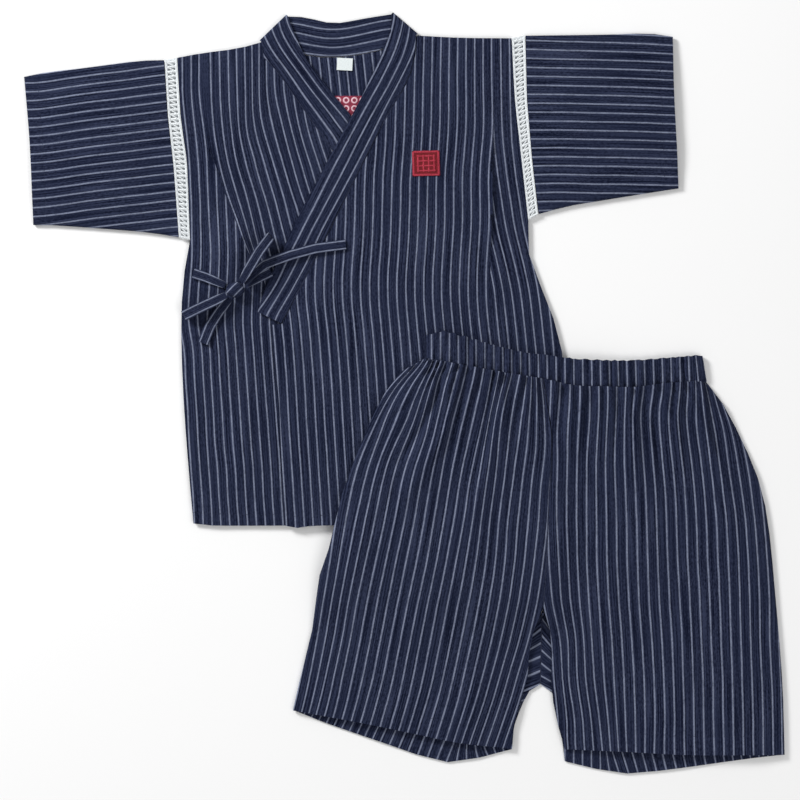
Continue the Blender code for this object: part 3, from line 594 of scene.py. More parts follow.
HEM_SEAMS = {  # lines of stitching
    "front_right": [[(-193, -107), (-150, -109), (-108, -109)]],
    "front_left": [[(-109, -110), (-92, -111), (-62, -108.5), (20, -108)]],
    "sleeve_right": [[(-322, 156), (-325, 222), (-330, 284)]],
    "sleeve_left": [[(234, 185), (233, 211), (230, 271), (229, 320)]],
    "leg_right": [[(-96, -268), (-45, -278), (0, -287), (48, -297), (99, -303)]],
    "leg_left": [[(141, -303), (198, -305), (258, -308), (342, -308)]],
}


def length_of(path):
    return sum(math.dist(a, b) for a, b in zip(path[:-1], path[1:]))


def bump_on(xy, path, height, width):
    """A ridge or trough that runs out at its ends."""
    along, aside = from_path(path, xy)
    ends = np.clip(np.sin(math.pi * np.clip(along / length_of(path), 0, 1)), 0, 1) ** 0.6
    lobe = np.exp(-((aside / width) ** 2))
    return height * lobe * ends


def ripple(xy, seed, height):
    """Slow unevenness, longer along the stripes than across them."""
    rng = np.random.default_rng(seed)
    total = np.zeros(len(xy))
    for _ in range(7):
        across, along = rng.uniform(0.05, 0.16), rng.uniform(-0.035, 0.035)
        phase = rng.uniform(0, 2 * math.pi)
        total += np.sin(xy[:, 0] * across + xy[:, 1] * along + phase)
    return total / 7 * height


def band_wave(along):
    """The gathers that the elastic makes along the waistband."""
    return np.sin(along * 0.72 + 1.6 * np.sin(along * 0.11))


def gather_edge(obj):
    """Draws the waistband's upper edge in between its gathers, and rounds its upper corners."""
    points = points_of(obj.data)
    along, up = from_path(WAIST_SEAM, to_table(points))
    near = np.clip((up - BAND_HEIGHT * 0.6) / (BAND_HEIGHT * 0.4), 0, 1) ** 2
    points[:, 1] += (band_wave(along) - 1) * EDGE_DRAW * near * MM
    from_end = along.max() - along
    corner = np.clip(1 - np.minimum(along, from_end) / CORNER_REACH, 0, 1) ** 2
    points[:, 1] -= CORNER_DROP * corner * near * MM
    lean = np.clip(1 - from_end / LEAN_REACH, 0, 1) * np.clip(up / BAND_HEIGHT, 0, 1)
    points[:, 0] -= LEAN * lean * MM
    move_points(obj, points)


def relief_for(node, guides=None, turned=False, seed=1, unevenness=0.35):
    def relief(xy):
        total = ripple(xy[:, ::-1] if turned else xy, seed, unevenness)
        for path, height, width in RIDGES.get(node, []):
            total += bump_on(xy, path, height, width)
        if node in TUCKS:
            path, height, reach, side = TUCKS[node]
            path = path[1:-2]
            along, aside = from_path(path, xy)
            fade = np.sin(math.pi * np.clip(along / length_of(path), 0, 1)) ** 0.5
            slope = np.exp(-np.abs(aside) / reach) * (np.sign(aside) == side)
            total += height * fade * slope
            total -= 0.35 * height * fade * np.exp(-np.abs(aside) / 3) * (np.sign(aside) == -side)
        for path in HEM_SEAMS.get(node, []):
            aside = from_path(path, xy)[1]
            total -= 0.35 * np.exp(-((aside / 1.6) ** 2))
        if node.startswith("leg"):
            below = from_path(WAIST_SEAM, xy)[1]
            number = guide_numbers(guides, xy)
            wave = np.sin(number * 4.1 + 0.7) + 0.7 * np.sin(number * 2.3 + 2.0)
            wave = wave + 0.5 * np.sin(number * 7.1)
            reach = 38 + 16 * np.sin(number * 1.7)
            near = np.exp(-np.abs(below) / reach)
            total += 1.6 * wave * near + 0.5 * near
            total += 0.8 * np.sin(number * 5.6 + 1.0) * np.exp(-np.abs(below) / 10)
            seam = from_path(CENTRE_SEAM, xy)[1]
            total -= 0.5 * np.exp(-((seam / 2.2) ** 2))
        if node == "waistband":
            along, up = from_path(WAIST_SEAM, xy)
            edge = np.clip(np.abs(up - BAND_HEIGHT / 2) / (BAND_HEIGHT / 2), 0.3, 1)
            total += 1.1 * band_wave(along) * edge
        return total

    return relief


# %% [markdown]
# ## Materials
#
# The cotton is a crepe: navy threads with a pale one every 8 mm, and fainter streaks where the dye
# took unevenly. The ground also gets painted shade, darker where the crepe's bump sinks. All of it is
# worked out from the cloth's own places, across and along the stripes, so it bends with every fold.
# A small class lets the shader's sums be written as sums.

# %% Shader helpers
class Value:
    """A shader socket that can be used in sums."""

    def __init__(self, shader, socket):
        self.shader, self.socket = shader, socket

    def _math(self, operation, *values):
        return self.shader.add("ShaderNodeMath", {"operation": operation}, dict(enumerate(values)))

    def __add__(self, other):
        return self._math("ADD", self, other)

    __radd__ = __add__

    def __sub__(self, other):
        return self._math("SUBTRACT", self, other)

    def __rsub__(self, other):
        return self._math("SUBTRACT", other, self)

    def __mul__(self, other):
        return self._math("MULTIPLY", self, other)

    __rmul__ = __mul__

    def __truediv__(self, other):
        return self._math("DIVIDE", self, other)

    def __rtruediv__(self, other):
        return self._math("DIVIDE", other, self)

    def __abs__(self):
        return self._math("ABSOLUTE", self)

    def round(self):
        return self._math("ROUND", self)

    def sin(self):
        return self._math("SINE", self)

    def smooth(self, low, high):
        """0 below low, 1 above high and a soft change between them."""
        settings = {"interpolation_type": "SMOOTHSTEP"}
        return self.shader.add("ShaderNodeMapRange", settings, {0: self, 1: low, 2: high})


class Shader:
    """A material whose nodes are added by one method."""

    def __init__(self, name, **constants):
        self.material = bpy.data.materials.new(name)
        self.material.use_nodes = True
        self.tree = self.material.node_tree
        self.surface = self.tree.nodes["Principled BSDF"]
        for title, value in constants.items():
            self.surface.inputs[title.replace("_", " ")].default_value = value

    def add(self, kind, settings, inputs, output=0):
        node = self.tree.nodes.new(kind)
        for title, value in settings.items():
            setattr(node, title, value)
        for key, value in inputs.items():
            if isinstance(value, Value):
                self.tree.links.new(value.socket, node.inputs[key])
            else:
                node.inputs[key].default_value = value
        return Value(self, node.outputs[output])

    def places(self):
        uv = self.add("ShaderNodeUVMap", {"uv_map": "cloth"}, {})
        return [self.add("ShaderNodeSeparateXYZ", {}, {0: uv}, i) * 1000 for i in range(2)]

    def noise(self, x, y, detail=2.0, roughness=0.5):
        at = self.add("ShaderNodeCombineXYZ", {}, {0: x, 1: y})
        return self.add("ShaderNodeTexNoise", {}, {0: at, 2: 1.0, 3: detail, 4: roughness})

    def mix(self, factor, first, second, how="MIX"):
        settings = {"data_type": "RGBA", "blend_type": how}
        return self.add("ShaderNodeMix", settings, {0: factor, 6: first, 7: second}, 2)

    def bump(self, height, distance, strength=1.0):
        inputs = {"Strength": strength, "Distance": distance, "Height": height}
        return self.add("ShaderNodeBump", {}, inputs)

    def plug(self, title, value):
        self.tree.links.new(value.socket, self.surface.inputs[title])


# %% Colours
GROUND = (0.0120, 0.0170, 0.0420, 1)
GROUND_DARK = (0.0020, 0.0040, 0.0160, 1)
GROUND_PALE = (0.0330, 0.0415, 0.0830, 1)
STRIPE = (0.215, 0.242, 0.338, 1)
LACE_WHITE = (0.90, 0.93, 0.94, 1)
LACE_SHADE = (0.66, 0.70, 0.74, 1)
LABEL_WHITE = (0.78, 0.84, 0.84, 1)
LABEL_SHADE = (0.66, 0.71, 0.72, 1)
SEAL_RED = (0.235, 0.010, 0.020, 1)
SEAL_DARK = (0.050, 0.010, 0.008, 1)
SEAL_PALE = (0.520, 0.050, 0.085, 1)
PICTURE_RED = (0.400, 0.040, 0.080, 1)
PICTURE_DARK = (0.080, 0.030, 0.050, 1)
PICTURE_PALE = (0.90, 0.62, 0.68, 1)
PICTURE_SHADE = (0.66, 0.36, 0.44, 1)


def striped_cotton():
    shader = Shader(
        "striped_cotton", Roughness=0.92, Sheen_Weight=0.015, Sheen_Roughness=0.5, Specular_IOR_Level=0.08
    )
    across, along = shader.places()
    drift = (shader.noise(across * 0.06, along * 0.05) - 0.5) * 1.1
    waver = (shader.noise(across * 0.3, along * 0.35, 3.0) - 0.5) * 0.7
    number = (across + drift * 0.5 + waver * 0.5) / PITCH
    whole = number.round()
    off_line = abs(number - whole) * PITCH
    line = 1 - off_line.smooth(0.30, 0.95)
    strength = shader.noise(whole * 5.3, along * 0.11, 3.0).smooth(0.18, 0.66) * 0.42 + 0.58
    fleck = shader.noise(across * 1.1, along * 0.55, 2.0).smooth(0.25, 0.6) * 0.35 + 0.65
    streak = shader.noise(across * 0.9, along * 0.012, 2.0, 0.6)
    crepe = shader.noise(across * 0.95, along * 0.33, 3.0, 0.65)
    patchy = shader.noise(across * 0.03 + 9.0, along * 0.02, 2.0)
    # The ground's dark and pale mix is partly uneven dye, from the long streaks, and partly painted shade:
    # the crepe noise that makes the bump also darkens the ground where it sinks.
    base = shader.mix((streak * 0.6 + crepe * 0.4).smooth(0.40, 0.61), GROUND_DARK, GROUND_PALE)
    base = shader.mix(patchy.smooth(0.3, 0.7) * 0.45, base, GROUND)
    shader.plug("Base Color", shader.mix(line * strength * fleck, base, STRIPE))
    thread = (across * (2 * math.pi / 0.7)).sin() * 0.12 + (along * (2 * math.pi / 0.8)).sin() * 0.08
    height = crepe * 0.8 + thread + line * 0.25
    shader.plug("Normal", shader.bump(height, 0.00045, 0.75))
    return shader.material


def thread_cloth(name, main, shade, grain=(1.6, 0.5), distance=0.0003, roughness=0.8):
    """Close, fine thread in one colour, with a darker colour painted as shade where its fibres and rows
    sink, for lace, tape and embroidery.
    """
    shader = Shader(name, Roughness=roughness, Sheen_Weight=0.04, Specular_IOR_Level=0.2)
    across, along = shader.places()
    fibre = shader.noise(across * grain[0], along * grain[1], 3.0, 0.6)
    rows = (across * (2 * math.pi / 0.55)).sin() * 0.5 + 0.5
    # Painted shade: the darker colour follows the same fibres and rows as the bump, so it lies in the
    # thread's hollows.
    shader.plug("Base Color", shader.mix(fibre.smooth(0.3, 0.62) * 0.75 + rows * 0.25, shade, main))
    shader.plug("Normal", shader.bump(fibre + rows * 0.5, distance, 0.8))
    return shader.material


cotton = striped_cotton()
lace_thread = thread_cloth("lace_thread", LACE_WHITE, LACE_SHADE)
label_tape = thread_cloth("label_tape", LABEL_WHITE, LABEL_SHADE, (0.8, 0.8), 0.00015, 0.6)
seal_ground = thread_cloth("seal_ground", SEAL_RED, SEAL_DARK, (0.5, 2.2))
seal_lines = thread_cloth("seal_lines", SEAL_PALE, SEAL_RED, (2.2, 0.5))
picture_ground = thread_cloth("picture_ground", PICTURE_RED, PICTURE_DARK, (0.5, 2.2))
picture_lines = thread_cloth("picture_lines", PICTURE_PALE, PICTURE_SHADE, (2.2, 0.5))
navy_thread = thread_cloth("navy_thread", GROUND_PALE, GROUND_DARK)
print("materials:", len(bpy.data.materials))

# %% [markdown]
# ## The jacket
#
# The fronts lie on the back, the left one over the right, and their collars cross under the throat.
# The sleeves are flat tubes, joined to the body by the lace. The back only shows at the neck.

# %% Jacket panels
BODY_TOP = [n for n in nodes if n != "jacket_back"]
pieces = {}


def stands_for(obj, node, material=cotton):
    """Gives a piece its material and lets it take its CAD node's place."""
    obj.data.materials.clear()
    obj.data.materials.append(material)
    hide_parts(node)
    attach(obj, "root")
    pieces[node] = obj
    print(obj.name, len(obj.data.polygons), "triangles")
    return obj


def cloth_piece(
    node, guides, above, seed, turned=False, tucks=(), rounds=14, sides=None, unevenness=0.35, step=STEP
):
    """The shown cloth for one CAD node, with its folds and its stripes."""
    obj = fine_mesh(node, node + "_cloth", tucks, step)
    relief = relief_for(node, guides, turned, seed, unevenness)
    shape_cloth(obj, node, relief, rounds, above)
    xy = to_table(points_of(obj.data))
    numbers = guide_numbers(guides, xy, turned)
    low_wall = points_of(obj.data)[:, 2] < BACK_WALL_TOP * MM
    for outline, back_guides, back_turned in LEG_BACKS.get(node, []):
        seen = low_wall & inside(outline, xy)
        numbers = np.where(seen, guide_numbers(back_guides, xy, back_turned), numbers)
    if sides:
        numbers = side_by_corner(obj, tucks[0], numbers, guide_numbers(sides, xy))
    paint_places(obj, numbers, xy[:, 0] if turned else xy[:, 1])
    return stands_for(obj, node)


OVER = ["collar", "bow_knot", "tie_side", "tie_front", "bow_tail_short", "bow_tail_long"]
OVER += ["bow_loop_lower", "bow_loop_upper", "leg_right", "leg_left", "waistband"]
cloth_piece(
    "jacket_back", JACKET_BACK, ["front_right", "front_left", "neck_label"] + OVER, 11, step=9 * MM
)
cloth_piece(
    "front_right", FRONT_RIGHT_SIDE, ["front_left"] + OVER, 12, tucks=[TUCK_RIGHT], sides=FRONT_RIGHT_INNER
)
cloth_piece("front_left", FRONT_LEFT_INNER, OVER, 13, tucks=[TUCK_LEFT], sides=FRONT_LEFT_SIDE)
cloth_piece("sleeve_right", SLEEVE_RIGHT, [], 14, turned=True)
cloth_piece("sleeve_left", SLEEVE_LEFT, [], 15, turned=True)

# %% Collar
def collar_relief(xy):
    return 0.25 * np.sin(xy[:, 0] * 0.07 + xy[:, 1] * 0.045) + 0.15


def band_piece(node, place, pitch, relief, above=(), rounds=10, joins=(), moved=None):
    """A strip of cloth whose stripes follow its own path."""
    obj = fine_mesh(node, node + "_cloth", joins)
    if moved:
        moved(obj)
    corner, centres = faces_of(obj.data)
    places = to_table(points_of(obj.data)[corner])
    across, along = place(places, to_table(centres), centres[:, 2] / MM)
    shape_cloth(obj, node, relief, rounds, above)
    paint_places(obj, across / pitch, along)
    return stands_for(obj, node)


def swing_collar(obj):
    """Lets the lower stretch's free edge swing out to where the collars cross."""
    points = points_of(obj.data)
    xy = to_table(points)
    from_free = from_path(COLLAR_CUT, xy)[1]
    lower = (from_path(COLLAR_SEAMS[0], xy)[1] < 0.9) & (from_free > -0.5)
    lower &= points[:, 2] < COLLAR_CROSSING * MM
    out = np.interp(xy[:, 1], COLLAR_SWING["levels"], COLLAR_SWING["out"])
    out = out * np.clip(1 - from_free / 22, 0, 1) * lower
    points[:, :2] += out[:, None] * np.array([0.75, 0.66]) * MM
    move_points(obj, points)


BOW = [n for n in OVER if n.startswith(("bow", "tie"))]
over_collar = ["front_left"] + BOW
band_piece(
    "collar", collar_place, PITCH, collar_relief, over_collar, joins=COLLAR_JOINS, moved=swing_collar
)

# %% Waistband, legs
SHORTS_TOP = ["waistband"]
cloth_piece("leg_right", LEG_RIGHT, SHORTS_TOP, 16)
cloth_piece("leg_left", LEG_LEFT, SHORTS_TOP, 17)
gather_edge(cloth_piece("waistband", WAISTBAND, [], 18, rounds=2, unevenness=0.2))

# %% [markdown]
# ## The bow
#
# The ties are narrow tubes of the same cotton, with a stripe near each edge. They are tied in a bow
# at the side: two loops, two tails and the knot that grips them.

# %% Ties
def tie_place(path):
    def place(xy, centres, z):
        along, aside = from_path(path, xy)
        return aside + TIE_STRIPES / 2, along

    return place


for node, path in TIES.items():
    band_piece(node, tie_place(path), TIE_STRIPES, lambda xy: np.zeros(len(xy)), rounds=3)

# %% Lace and label
def plain_piece(node, material, path):
    """A strip that isn't striped, on its CAD node's form."""
    obj = fine_mesh(node, node + "_cloth")
    points = points_of(obj.data)
    along, aside = from_path(path, to_table(points))
    paint_places(obj, aside, along, 1.0)
    return stands_for(obj, node, material)


LACE_LINES = {
    "right": [(-198, 139), (-201.7, 205), (-207.2, 250), (-210.2, 301)],
    "left": [(115.5, 158.5), (109.7, 210), (104.5, 264), (102.2, 321)],
}
for side, line in LACE_LINES.items():
    for wall in ("front", "back"):
        plain_piece(f"lace_{side}_{wall}", lace_thread, line)
plain_piece("neck_label", label_tape, [(-54, 300), (-54, 290)])
print("pieces:", len(pieces))

# %% [markdown]
# ## Sewing
#
# The seams leave small gaps between the solid pieces. On the real set the cloth is pulled together
# there, so a narrow roll of the same navy lies in each gap. The hems are turned up and sewn with
# navy thread, in short stitches that sink at both ends. Each line is one joined mesh.

# %% Finding the cloth's height
def tree_of(*objects):
    verts, faces = [], []
    for obj in objects:
        base = len(verts)
        verts += [v.co.copy() for v in obj.data.vertices]
        faces += [[base + i for i in polygon.vertices] for polygon in obj.data.polygons]
    return BVHTree.FromPolygons(verts, faces)


def top_height(tree, x, y, otherwise=0.0):
    hit = tree.ray_cast(Vector((x, y, 0.1)), -UP)[0]
    return otherwise if hit is None else hit.z


def walked(path, step):
    """Places every step millimetres along a path, with the way ahead at each, in the row frame."""
    path = np.asarray(path, float)
    lengths = np.concatenate([[0], np.cumsum(np.linalg.norm(np.diff(path, axis=0), axis=1))])
    at = np.arange(0, lengths[-1], step)
    places = np.stack([np.interp(at, lengths, path[:, i]) for i in range(2)], axis=1)
    ways = np.gradient(places, axis=0)
    return to_row(places), ways / np.linalg.norm(ways, axis=1, keepdims=True)


def finished(name, bm, material):
    """A joined mesh as a piece that rides the set, with its own places for its thread."""
    bmesh.ops.recalc_face_normals(bm, faces=bm.faces)
    mesh = bpy.data.meshes.new(name)
    bm.to_mesh(mesh)
    bm.free()
    obj = bpy.data.objects.new(name, mesh)
    bpy.context.scene.collection.objects.link(obj)
    xy = to_table(points_of(mesh))
    paint_places(obj, xy[:, 0], xy[:, 1], 1.0)
    mesh.materials.append(material)
    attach(obj, "root")
    return obj


def stitches(name, tree, paths, length=2.4, step=3.4, width=0.45, rise=0.28):
    """Rows of short stitches that lie on the cloth and dip into it at both ends."""
    bm = bmesh.new()
    for path in paths:
        places, ways = walked(path, step)
        for (x, y), way in zip(places[1:-1], ways[1:-1]):
            ahead, aside = way * length / 2 * MM, np.array([-way[1], way[0]]) * width / 2 * MM
            z = top_height(tree, x, y)
            ring = [(-ahead, -0.1), (aside, 0.05), (ahead, -0.1), (-aside, 0.05)]
            low = [bm.verts.new((x + d[0], y + d[1], z + h * MM)) for d, h in ring]
            peaks = [bm.verts.new((x, y, z + h * MM)) for h in (rise, -0.2)]
            for i in range(4):
                for peak in peaks:
                    bm.faces.new([low[i], low[(i + 1) % 4], peak])
    return finished(name, bm, navy_thread)


def tube(bm, centres, asides, radius, flat=1.0, sides=6):
    """A thread or roll along some places, each with the level direction across it."""
    rings = []
    for centre, aside in zip(centres, asides):
        across = Vector((aside[0], aside[1], 0)) * radius * MM
        turns = [2 * math.pi * k / sides for k in range(sides)]
        rise = UP * radius * flat * MM
        ring = [Vector(centre) + across * math.cos(a) + rise * math.sin(a) for a in turns]
        rings.append([bm.verts.new(place) for place in ring])
    for first, second in zip(rings[:-1], rings[1:]):
        for k in range(sides):
            n = (k + 1) % sides
            bm.faces.new([first[k], first[n], second[n], second[k]])
    bm.faces.new(rings[0])
    bm.faces.new(rings[-1][::-1])


def find_gap(tree, place, aside, reach=3.0, drop=0.6):
    """How far aside the gap of a seam is from a place, and the height of its lower rim."""
    offsets = np.arange(-reach, reach + 0.01, 0.1)
    spots = place + offsets[:, None] * aside * MM
    heights = np.array([top_height(tree, x, y) for x, y in spots])
    rim = min(heights[0], heights[-1])
    low = heights < rim - drop * MM
    return (offsets[low].mean() if low.any() else None), rim


def seam_roll(name, tree, path, radius=0.75, sink=0.12, rise=0.0, guides=None):
    """A narrow roll of cloth in the gap of a seam. rise makes it gather, guides give it stripes."""
    bm = bmesh.new()
    centres, asides, last, last_rim = [], [], 0.0, 0.0
    for i, (place, way) in enumerate(zip(*walked(path, 2.0))):
        aside = np.array([-way[1], way[0]])
        offset, rim = find_gap(tree, place, aside)
        last = last if offset is None else offset
        last_rim = rim if rim > MM else last_rim
        height = last_rim / MM - sink - radius * 0.6 + rise * band_wave(i * 2.0)
        centres.append((*(place + aside * last * MM), max(height, radius * 0.6 + 0.05) * MM))
        asides.append(aside)
    tube(bm, centres, asides, radius, 0.6)
    roll = finished(name, bm, cotton if guides else navy_thread)
    if guides:
        xy = to_table(points_of(roll.data))
        paint_places(roll, guide_numbers(guides, xy), xy[:, 1])
    return roll


# %% Seams and hems
body_tree = tree_of(pieces["front_left"], pieces["front_right"], pieces["collar"])
shorts_tree = tree_of(pieces["leg_left"], pieces["leg_right"], pieces["waistband"])
sleeve_trees = {side: tree_of(pieces["sleeve_" + side]) for side in ("right", "left")}
sewn = {
    "front_left": [
        seam_roll("collar_seam_left", body_tree, COLLAR_SEAMS[2][1:]),
        stitches("hem_stitches_left", body_tree, HEM_SEAMS["front_left"]),
    ],
    "front_right": [
        seam_roll("collar_seam_right", body_tree, COLLAR_SEAMS[0][3:]),
        stitches("hem_stitches_right", body_tree, HEM_SEAMS["front_right"]),
    ],
    "leg_left": [
        seam_roll("centre_seam", shorts_tree, CENTRE_SEAM),
        seam_roll("crotch_seam", shorts_tree, CROTCH_SEAM, radius=1.0),
        stitches("leg_stitches_left", shorts_tree, HEM_SEAMS["leg_left"]),
    ],
    "leg_right": [stitches("leg_stitches_right", shorts_tree, HEM_SEAMS["leg_right"])],
    "waistband": [seam_roll("waist_seam", shorts_tree, WAIST_SEAM, 1.3, 0.0, 0.35, WAISTBAND)],
}
for side, tree in sleeve_trees.items():
    name = "sleeve_" + side
    sewn[name] = [stitches("cuff_stitches_" + side, tree, HEM_SEAMS[name])]

# %% Lace threads
LACE_EDGES = {  # the edges on the body and on the sleeve
    "right": (
        [(-193, 138), (-195.5, 205), (-201.5, 250), (-204.5, 302)],
        [(-203, 140), (-208, 205), (-213, 250), (-216, 300)],
    ),
    "left": (
        [(111, 156), (105, 210), (99, 264), (96, 319.5)],
        [(120, 161), (114.5, 210), (110, 264), (108.5, 322)],
    ),
}
LADDER_STEPS, BAR_SHARE = 38, 0.52  # steps of the ladder, and how much of each is its bar


def part_way(path, part):
    """The place at some part of a path's length."""
    path = np.asarray(path, float)
    lengths = np.concatenate([[0], np.cumsum(np.linalg.norm(np.diff(path, axis=0), axis=1))])
    return np.array([np.interp(part * lengths[-1], lengths, path[:, i]) for i in range(2)])


def lace_threads(side):
    """Threads wound round the rails and bars of one lace, and across its openings."""
    tree = tree_of(pieces[f"lace_{side}_front"])
    body, sleeve = LACE_EDGES[side]

    def spot(part, share, lift):
        first, last = part_way(body, part), part_way(sleeve, part)
        low, high = (top_height(tree, *to_row(first + (last - first) * rail)) for rail in (0.09, 0.91))
        return (*to_row(first + (last - first) * share), low + (high - low) * share + lift * MM)

    bm = bmesh.new()
    bar_spots = ((0.18, -0.1), (0.35, 0.15), (0.65, 0.15), (0.82, -0.1))
    for step in range(LADDER_STEPS):
        bar = (step + BAR_SHARE / 2) / LADDER_STEPS
        start, end = (step + BAR_SHARE) / LADDER_STEPS, (step + 1) / LADDER_STEPS
        for path in (
            [spot(bar, share, lift) for share, lift in bar_spots],
            [spot(start, 0.34, -0.1), spot((start + end) / 2, 0.5, 0.1), spot(end, 0.66, -0.1)],
        ):
            way = np.subtract(path[-1], path[0])[:2]
            way /= np.linalg.norm(way)
            tube(bm, path, [(-way[1], way[0])] * len(path), 0.5, 0.7)
    for share in (0.05, 0.13, 0.87, 0.95):
        parts = np.linspace(0.004, 0.996, LADDER_STEPS * 2)
        path = [spot(part, share, 0.1 * (-1) ** i) for i, part in enumerate(parts)]
        tube(bm, path, [(1, 0)] * len(path), 0.4)
    return finished(f"lace_threads_{side}", bm, lace_thread)


for side in LACE_EDGES:
    sewn[f"lace_{side}_front"] = [lace_threads(side)]

# %% [markdown]
# ## Embroidery
#
# The set has a small square of embroidery on the chest and a larger one inside the back, which
# shows only between the collars. Both hold plain repeats in like colours: a basket lattice on the
# chest, and rings on the back. Each is a thin pad of stitches with raised lines on it.

# %% Embroidered squares
def placed(centre, turn, u, v):
    cos, sin = math.cos(turn), math.sin(turn)
    return to_row([[centre[0] + u * cos - v * sin, centre[1] + u * sin + v * cos]])[0]


def pad(name, tree, centre, size, turn, thick, material, steps=12):
    """A thin square of close stitches that lies on the cloth."""
    bm = bmesh.new()
    layers = []
    for lift in (0.04, thick):
        grid = []
        for i in range(steps + 1):
            row = []
            for j in range(steps + 1):
                u, v = (j / steps - 0.5) * size[0], (i / steps - 0.5) * size[1]
                x, y = placed(centre, turn, u, v)
                row.append(bm.verts.new((x, y, top_height(tree, x, y) + lift * MM)))
            grid.append(row)
        layers.append(grid)
    for grid in layers:
        for i in range(steps):
            for j in range(steps):
                bm.faces.new([grid[i][j], grid[i][j + 1], grid[i + 1][j + 1], grid[i + 1][j]])
    low, high = (
        g[0] + [r[-1] for r in g[1:]] + g[-1][-2::-1] + [r[0] for r in g[-2:0:-1]] for g in layers
    )
    for k in range(len(low)):
        n = (k + 1) % len(low)
        bm.faces.new([low[k], low[n], high[n], high[k]])
    return finished(name, bm, material)


def raised_lines(name, tree, centre, turn, lines, width, low, high, material):
    """Satin-stitched lines. Each is a list of (across, up, lift) on the square, open or closed."""
    bm = bmesh.new()
    for line in lines:
        line = np.array(line, float)
        ways = np.gradient(line[:, :2], axis=0)
        closed = np.allclose(line[0], line[-1])
        if closed:
            ways[0] = ways[-1] = (line[1] - line[-2])[:2]
            line, ways = line[:-1], ways[:-1]
        ways /= np.linalg.norm(ways, axis=1, keepdims=True)
        rows = []
        for (u, v, lift), way in zip(line, ways):
            row = []
            for side, height in ((-1, low), (-0.6, high), (0.6, high), (1, low)):
                x, y = placed(centre, turn, u - way[1] * side * width / 2, v + way[0] * side * width / 2)
                row.append(bm.verts.new((x, y, top_height(tree, x, y) + (height + lift) * MM)))
            rows.append(row)
        for first, second in zip(rows, rows[1:] + rows[:1] if closed else rows[1:]):
            for k in range(4):
                n = (k + 1) % 4
                bm.faces.new([first[k], first[n], second[n], second[k]])
        if not closed:
            bm.faces.new(rows[0])
            bm.faces.new(rows[-1][::-1])
    return finished(name, bm, material)


SEAL_CENTRE, SEAL_SIZE, SEAL_TURN = (19.1, 206.6), (24.6, 22.8), math.radians(1.5)
half_u, half_v = SEAL_SIZE[0] / 2 - 1.0, SEAL_SIZE[1] / 2 - 1.0
corners = [(-half_u, -half_v, 0), (half_u, -half_v, 0), (half_u, half_v, 0), (-half_u, half_v, 0)]
seal_frame = [
    [a, ((a[0] + b[0]) / 2, (a[1] + b[1]) / 2, 0), b] for a, b in zip(corners, corners[1:] + corners[:1])
]
lattice = []
for k in range(4):
    at = -7.2 + 4.8 * k
    steps = np.linspace(-8.4, 8.4, 15)
    weave = [0.14 * math.sin(math.pi * (t + 7.2) / 4.8 + math.pi / 2 + math.pi * k) for t in steps]
    lattice.append([(at, t * 0.92, w) for t, w in zip(steps, weave)])
    lattice.append([(t, at * 0.92, -w) for t, w in zip(steps, weave)])
front_tree = tree_of(pieces["front_left"])
seal = pad("chest_square", front_tree, SEAL_CENTRE, SEAL_SIZE, SEAL_TURN, 0.5, seal_ground)
seal_parts = [
    raised_lines("chest_frame", front_tree, SEAL_CENTRE, SEAL_TURN, seal_frame, 2.0, 0.4, 0.95, seal_lines),
    raised_lines("chest_lattice", front_tree, SEAL_CENTRE, SEAL_TURN, lattice, 1.5, 0.4, 0.85, seal_lines),
]

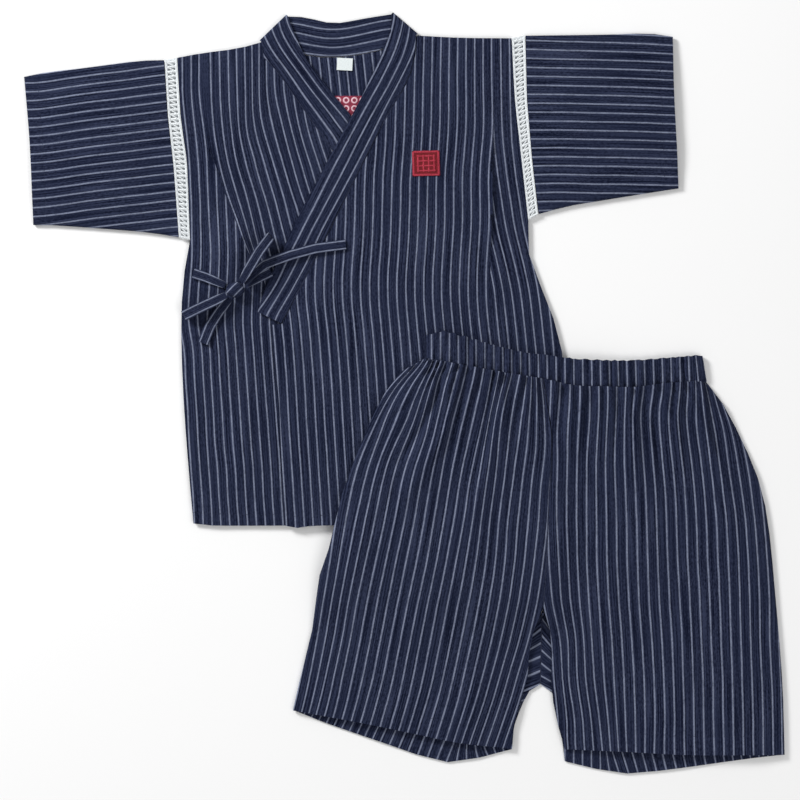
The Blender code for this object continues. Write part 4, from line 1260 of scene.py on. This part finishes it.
PICTURE_CENTRE, PICTURE_SIZE, PICTURE_TURN = (-49, 237.8), (60, 59.6), 0.0
RING_PITCH, RING_RADIUS, RING_PARTS = 7.4, 2.3, 14
rings = []
for i in range(8):
    for j in range(8):
        u = (j - 3.5) * RING_PITCH
        v = (i - 3.5) * RING_PITCH
        turns = np.linspace(0, 2 * math.pi, RING_PARTS + 1)
        rings.append([(u + RING_RADIUS * math.cos(a), v + RING_RADIUS * math.sin(a), 0) for a in turns])
back_tree = tree_of(pieces["jacket_back"])
picture = pad("back_square", back_tree, PICTURE_CENTRE, PICTURE_SIZE, PICTURE_TURN, 0.2, picture_ground)
picture_rings = raised_lines(
    "back_rings", back_tree, PICTURE_CENTRE, PICTURE_TURN, rings, 1.5, 0.16, 0.34, picture_lines
)
print("embroidery:", len(lattice), "bars and", len(rings), "rings")

# %% [markdown]
# ## Sheets
#
# Each piece is a sheet that was cut flat and then sewn.

# %% [markdown]
# ## Light and camera
#
# The set is seen from straight above on a plain pale ground, under soft even studio light with a
# little more from the upper left, which is enough to show the folds.

# %% Stage
floor_mesh = bpy.data.meshes.new("ground")
floor_corners = [(x, y, -0.0004) for x, y in ((-3, -3), (3, -3), (3, 3), (-3, 3))]
floor_mesh.from_pydata(floor_corners, [], [(0, 1, 2, 3)])
ground = bpy.data.objects.new("ground", floor_mesh)
bpy.context.scene.collection.objects.link(ground)
paper = Shader("paper", Roughness=0.9)
paper.surface.inputs["Base Color"].default_value = (0.93, 0.93, 0.93, 1)
floor_mesh.materials.append(paper.material)


def soft_light(name, place, size, power, target=(0, 0, 0)):
    data = bpy.data.lights.new(name, "AREA")
    data.shape, data.size, data.energy = "SQUARE", size, power
    light = bpy.data.objects.new(name, data)
    light.location = place
    light.rotation_euler = (Vector(target) - Vector(place)).to_track_quat("-Z", "Y").to_euler()
    bpy.context.scene.collection.objects.link(light)


soft_light("key", (-2.0, 1.7, 1.4), 0.8, 90)
soft_light("fill", (1.5, -1.2, 2.4), 1.6, 22)
world = bpy.data.worlds.new("studio")
world.use_nodes = True
world.node_tree.nodes["Background"].inputs[0].default_value = (1, 1, 1, 1)
world.node_tree.nodes["Background"].inputs[1].default_value = 0.42
bpy.context.scene.world = world
bpy.context.scene.view_settings.view_transform = "Standard"

# %% Camera
CENTRE = (-0.0039, -0.0063)  # what the middle of the picture shows
DISTANCE, SENSOR, WIDTH = 3.0, 36.0, 0.72
lens = bpy.data.cameras.new("camera")
lens.sensor_width = SENSOR
lens.lens = SENSOR * DISTANCE / WIDTH
camera = bpy.data.objects.new("camera", lens)
camera.location = (*CENTRE, DISTANCE)
bpy.context.scene.collection.objects.link(camera)
bpy.context.scene.camera = camera
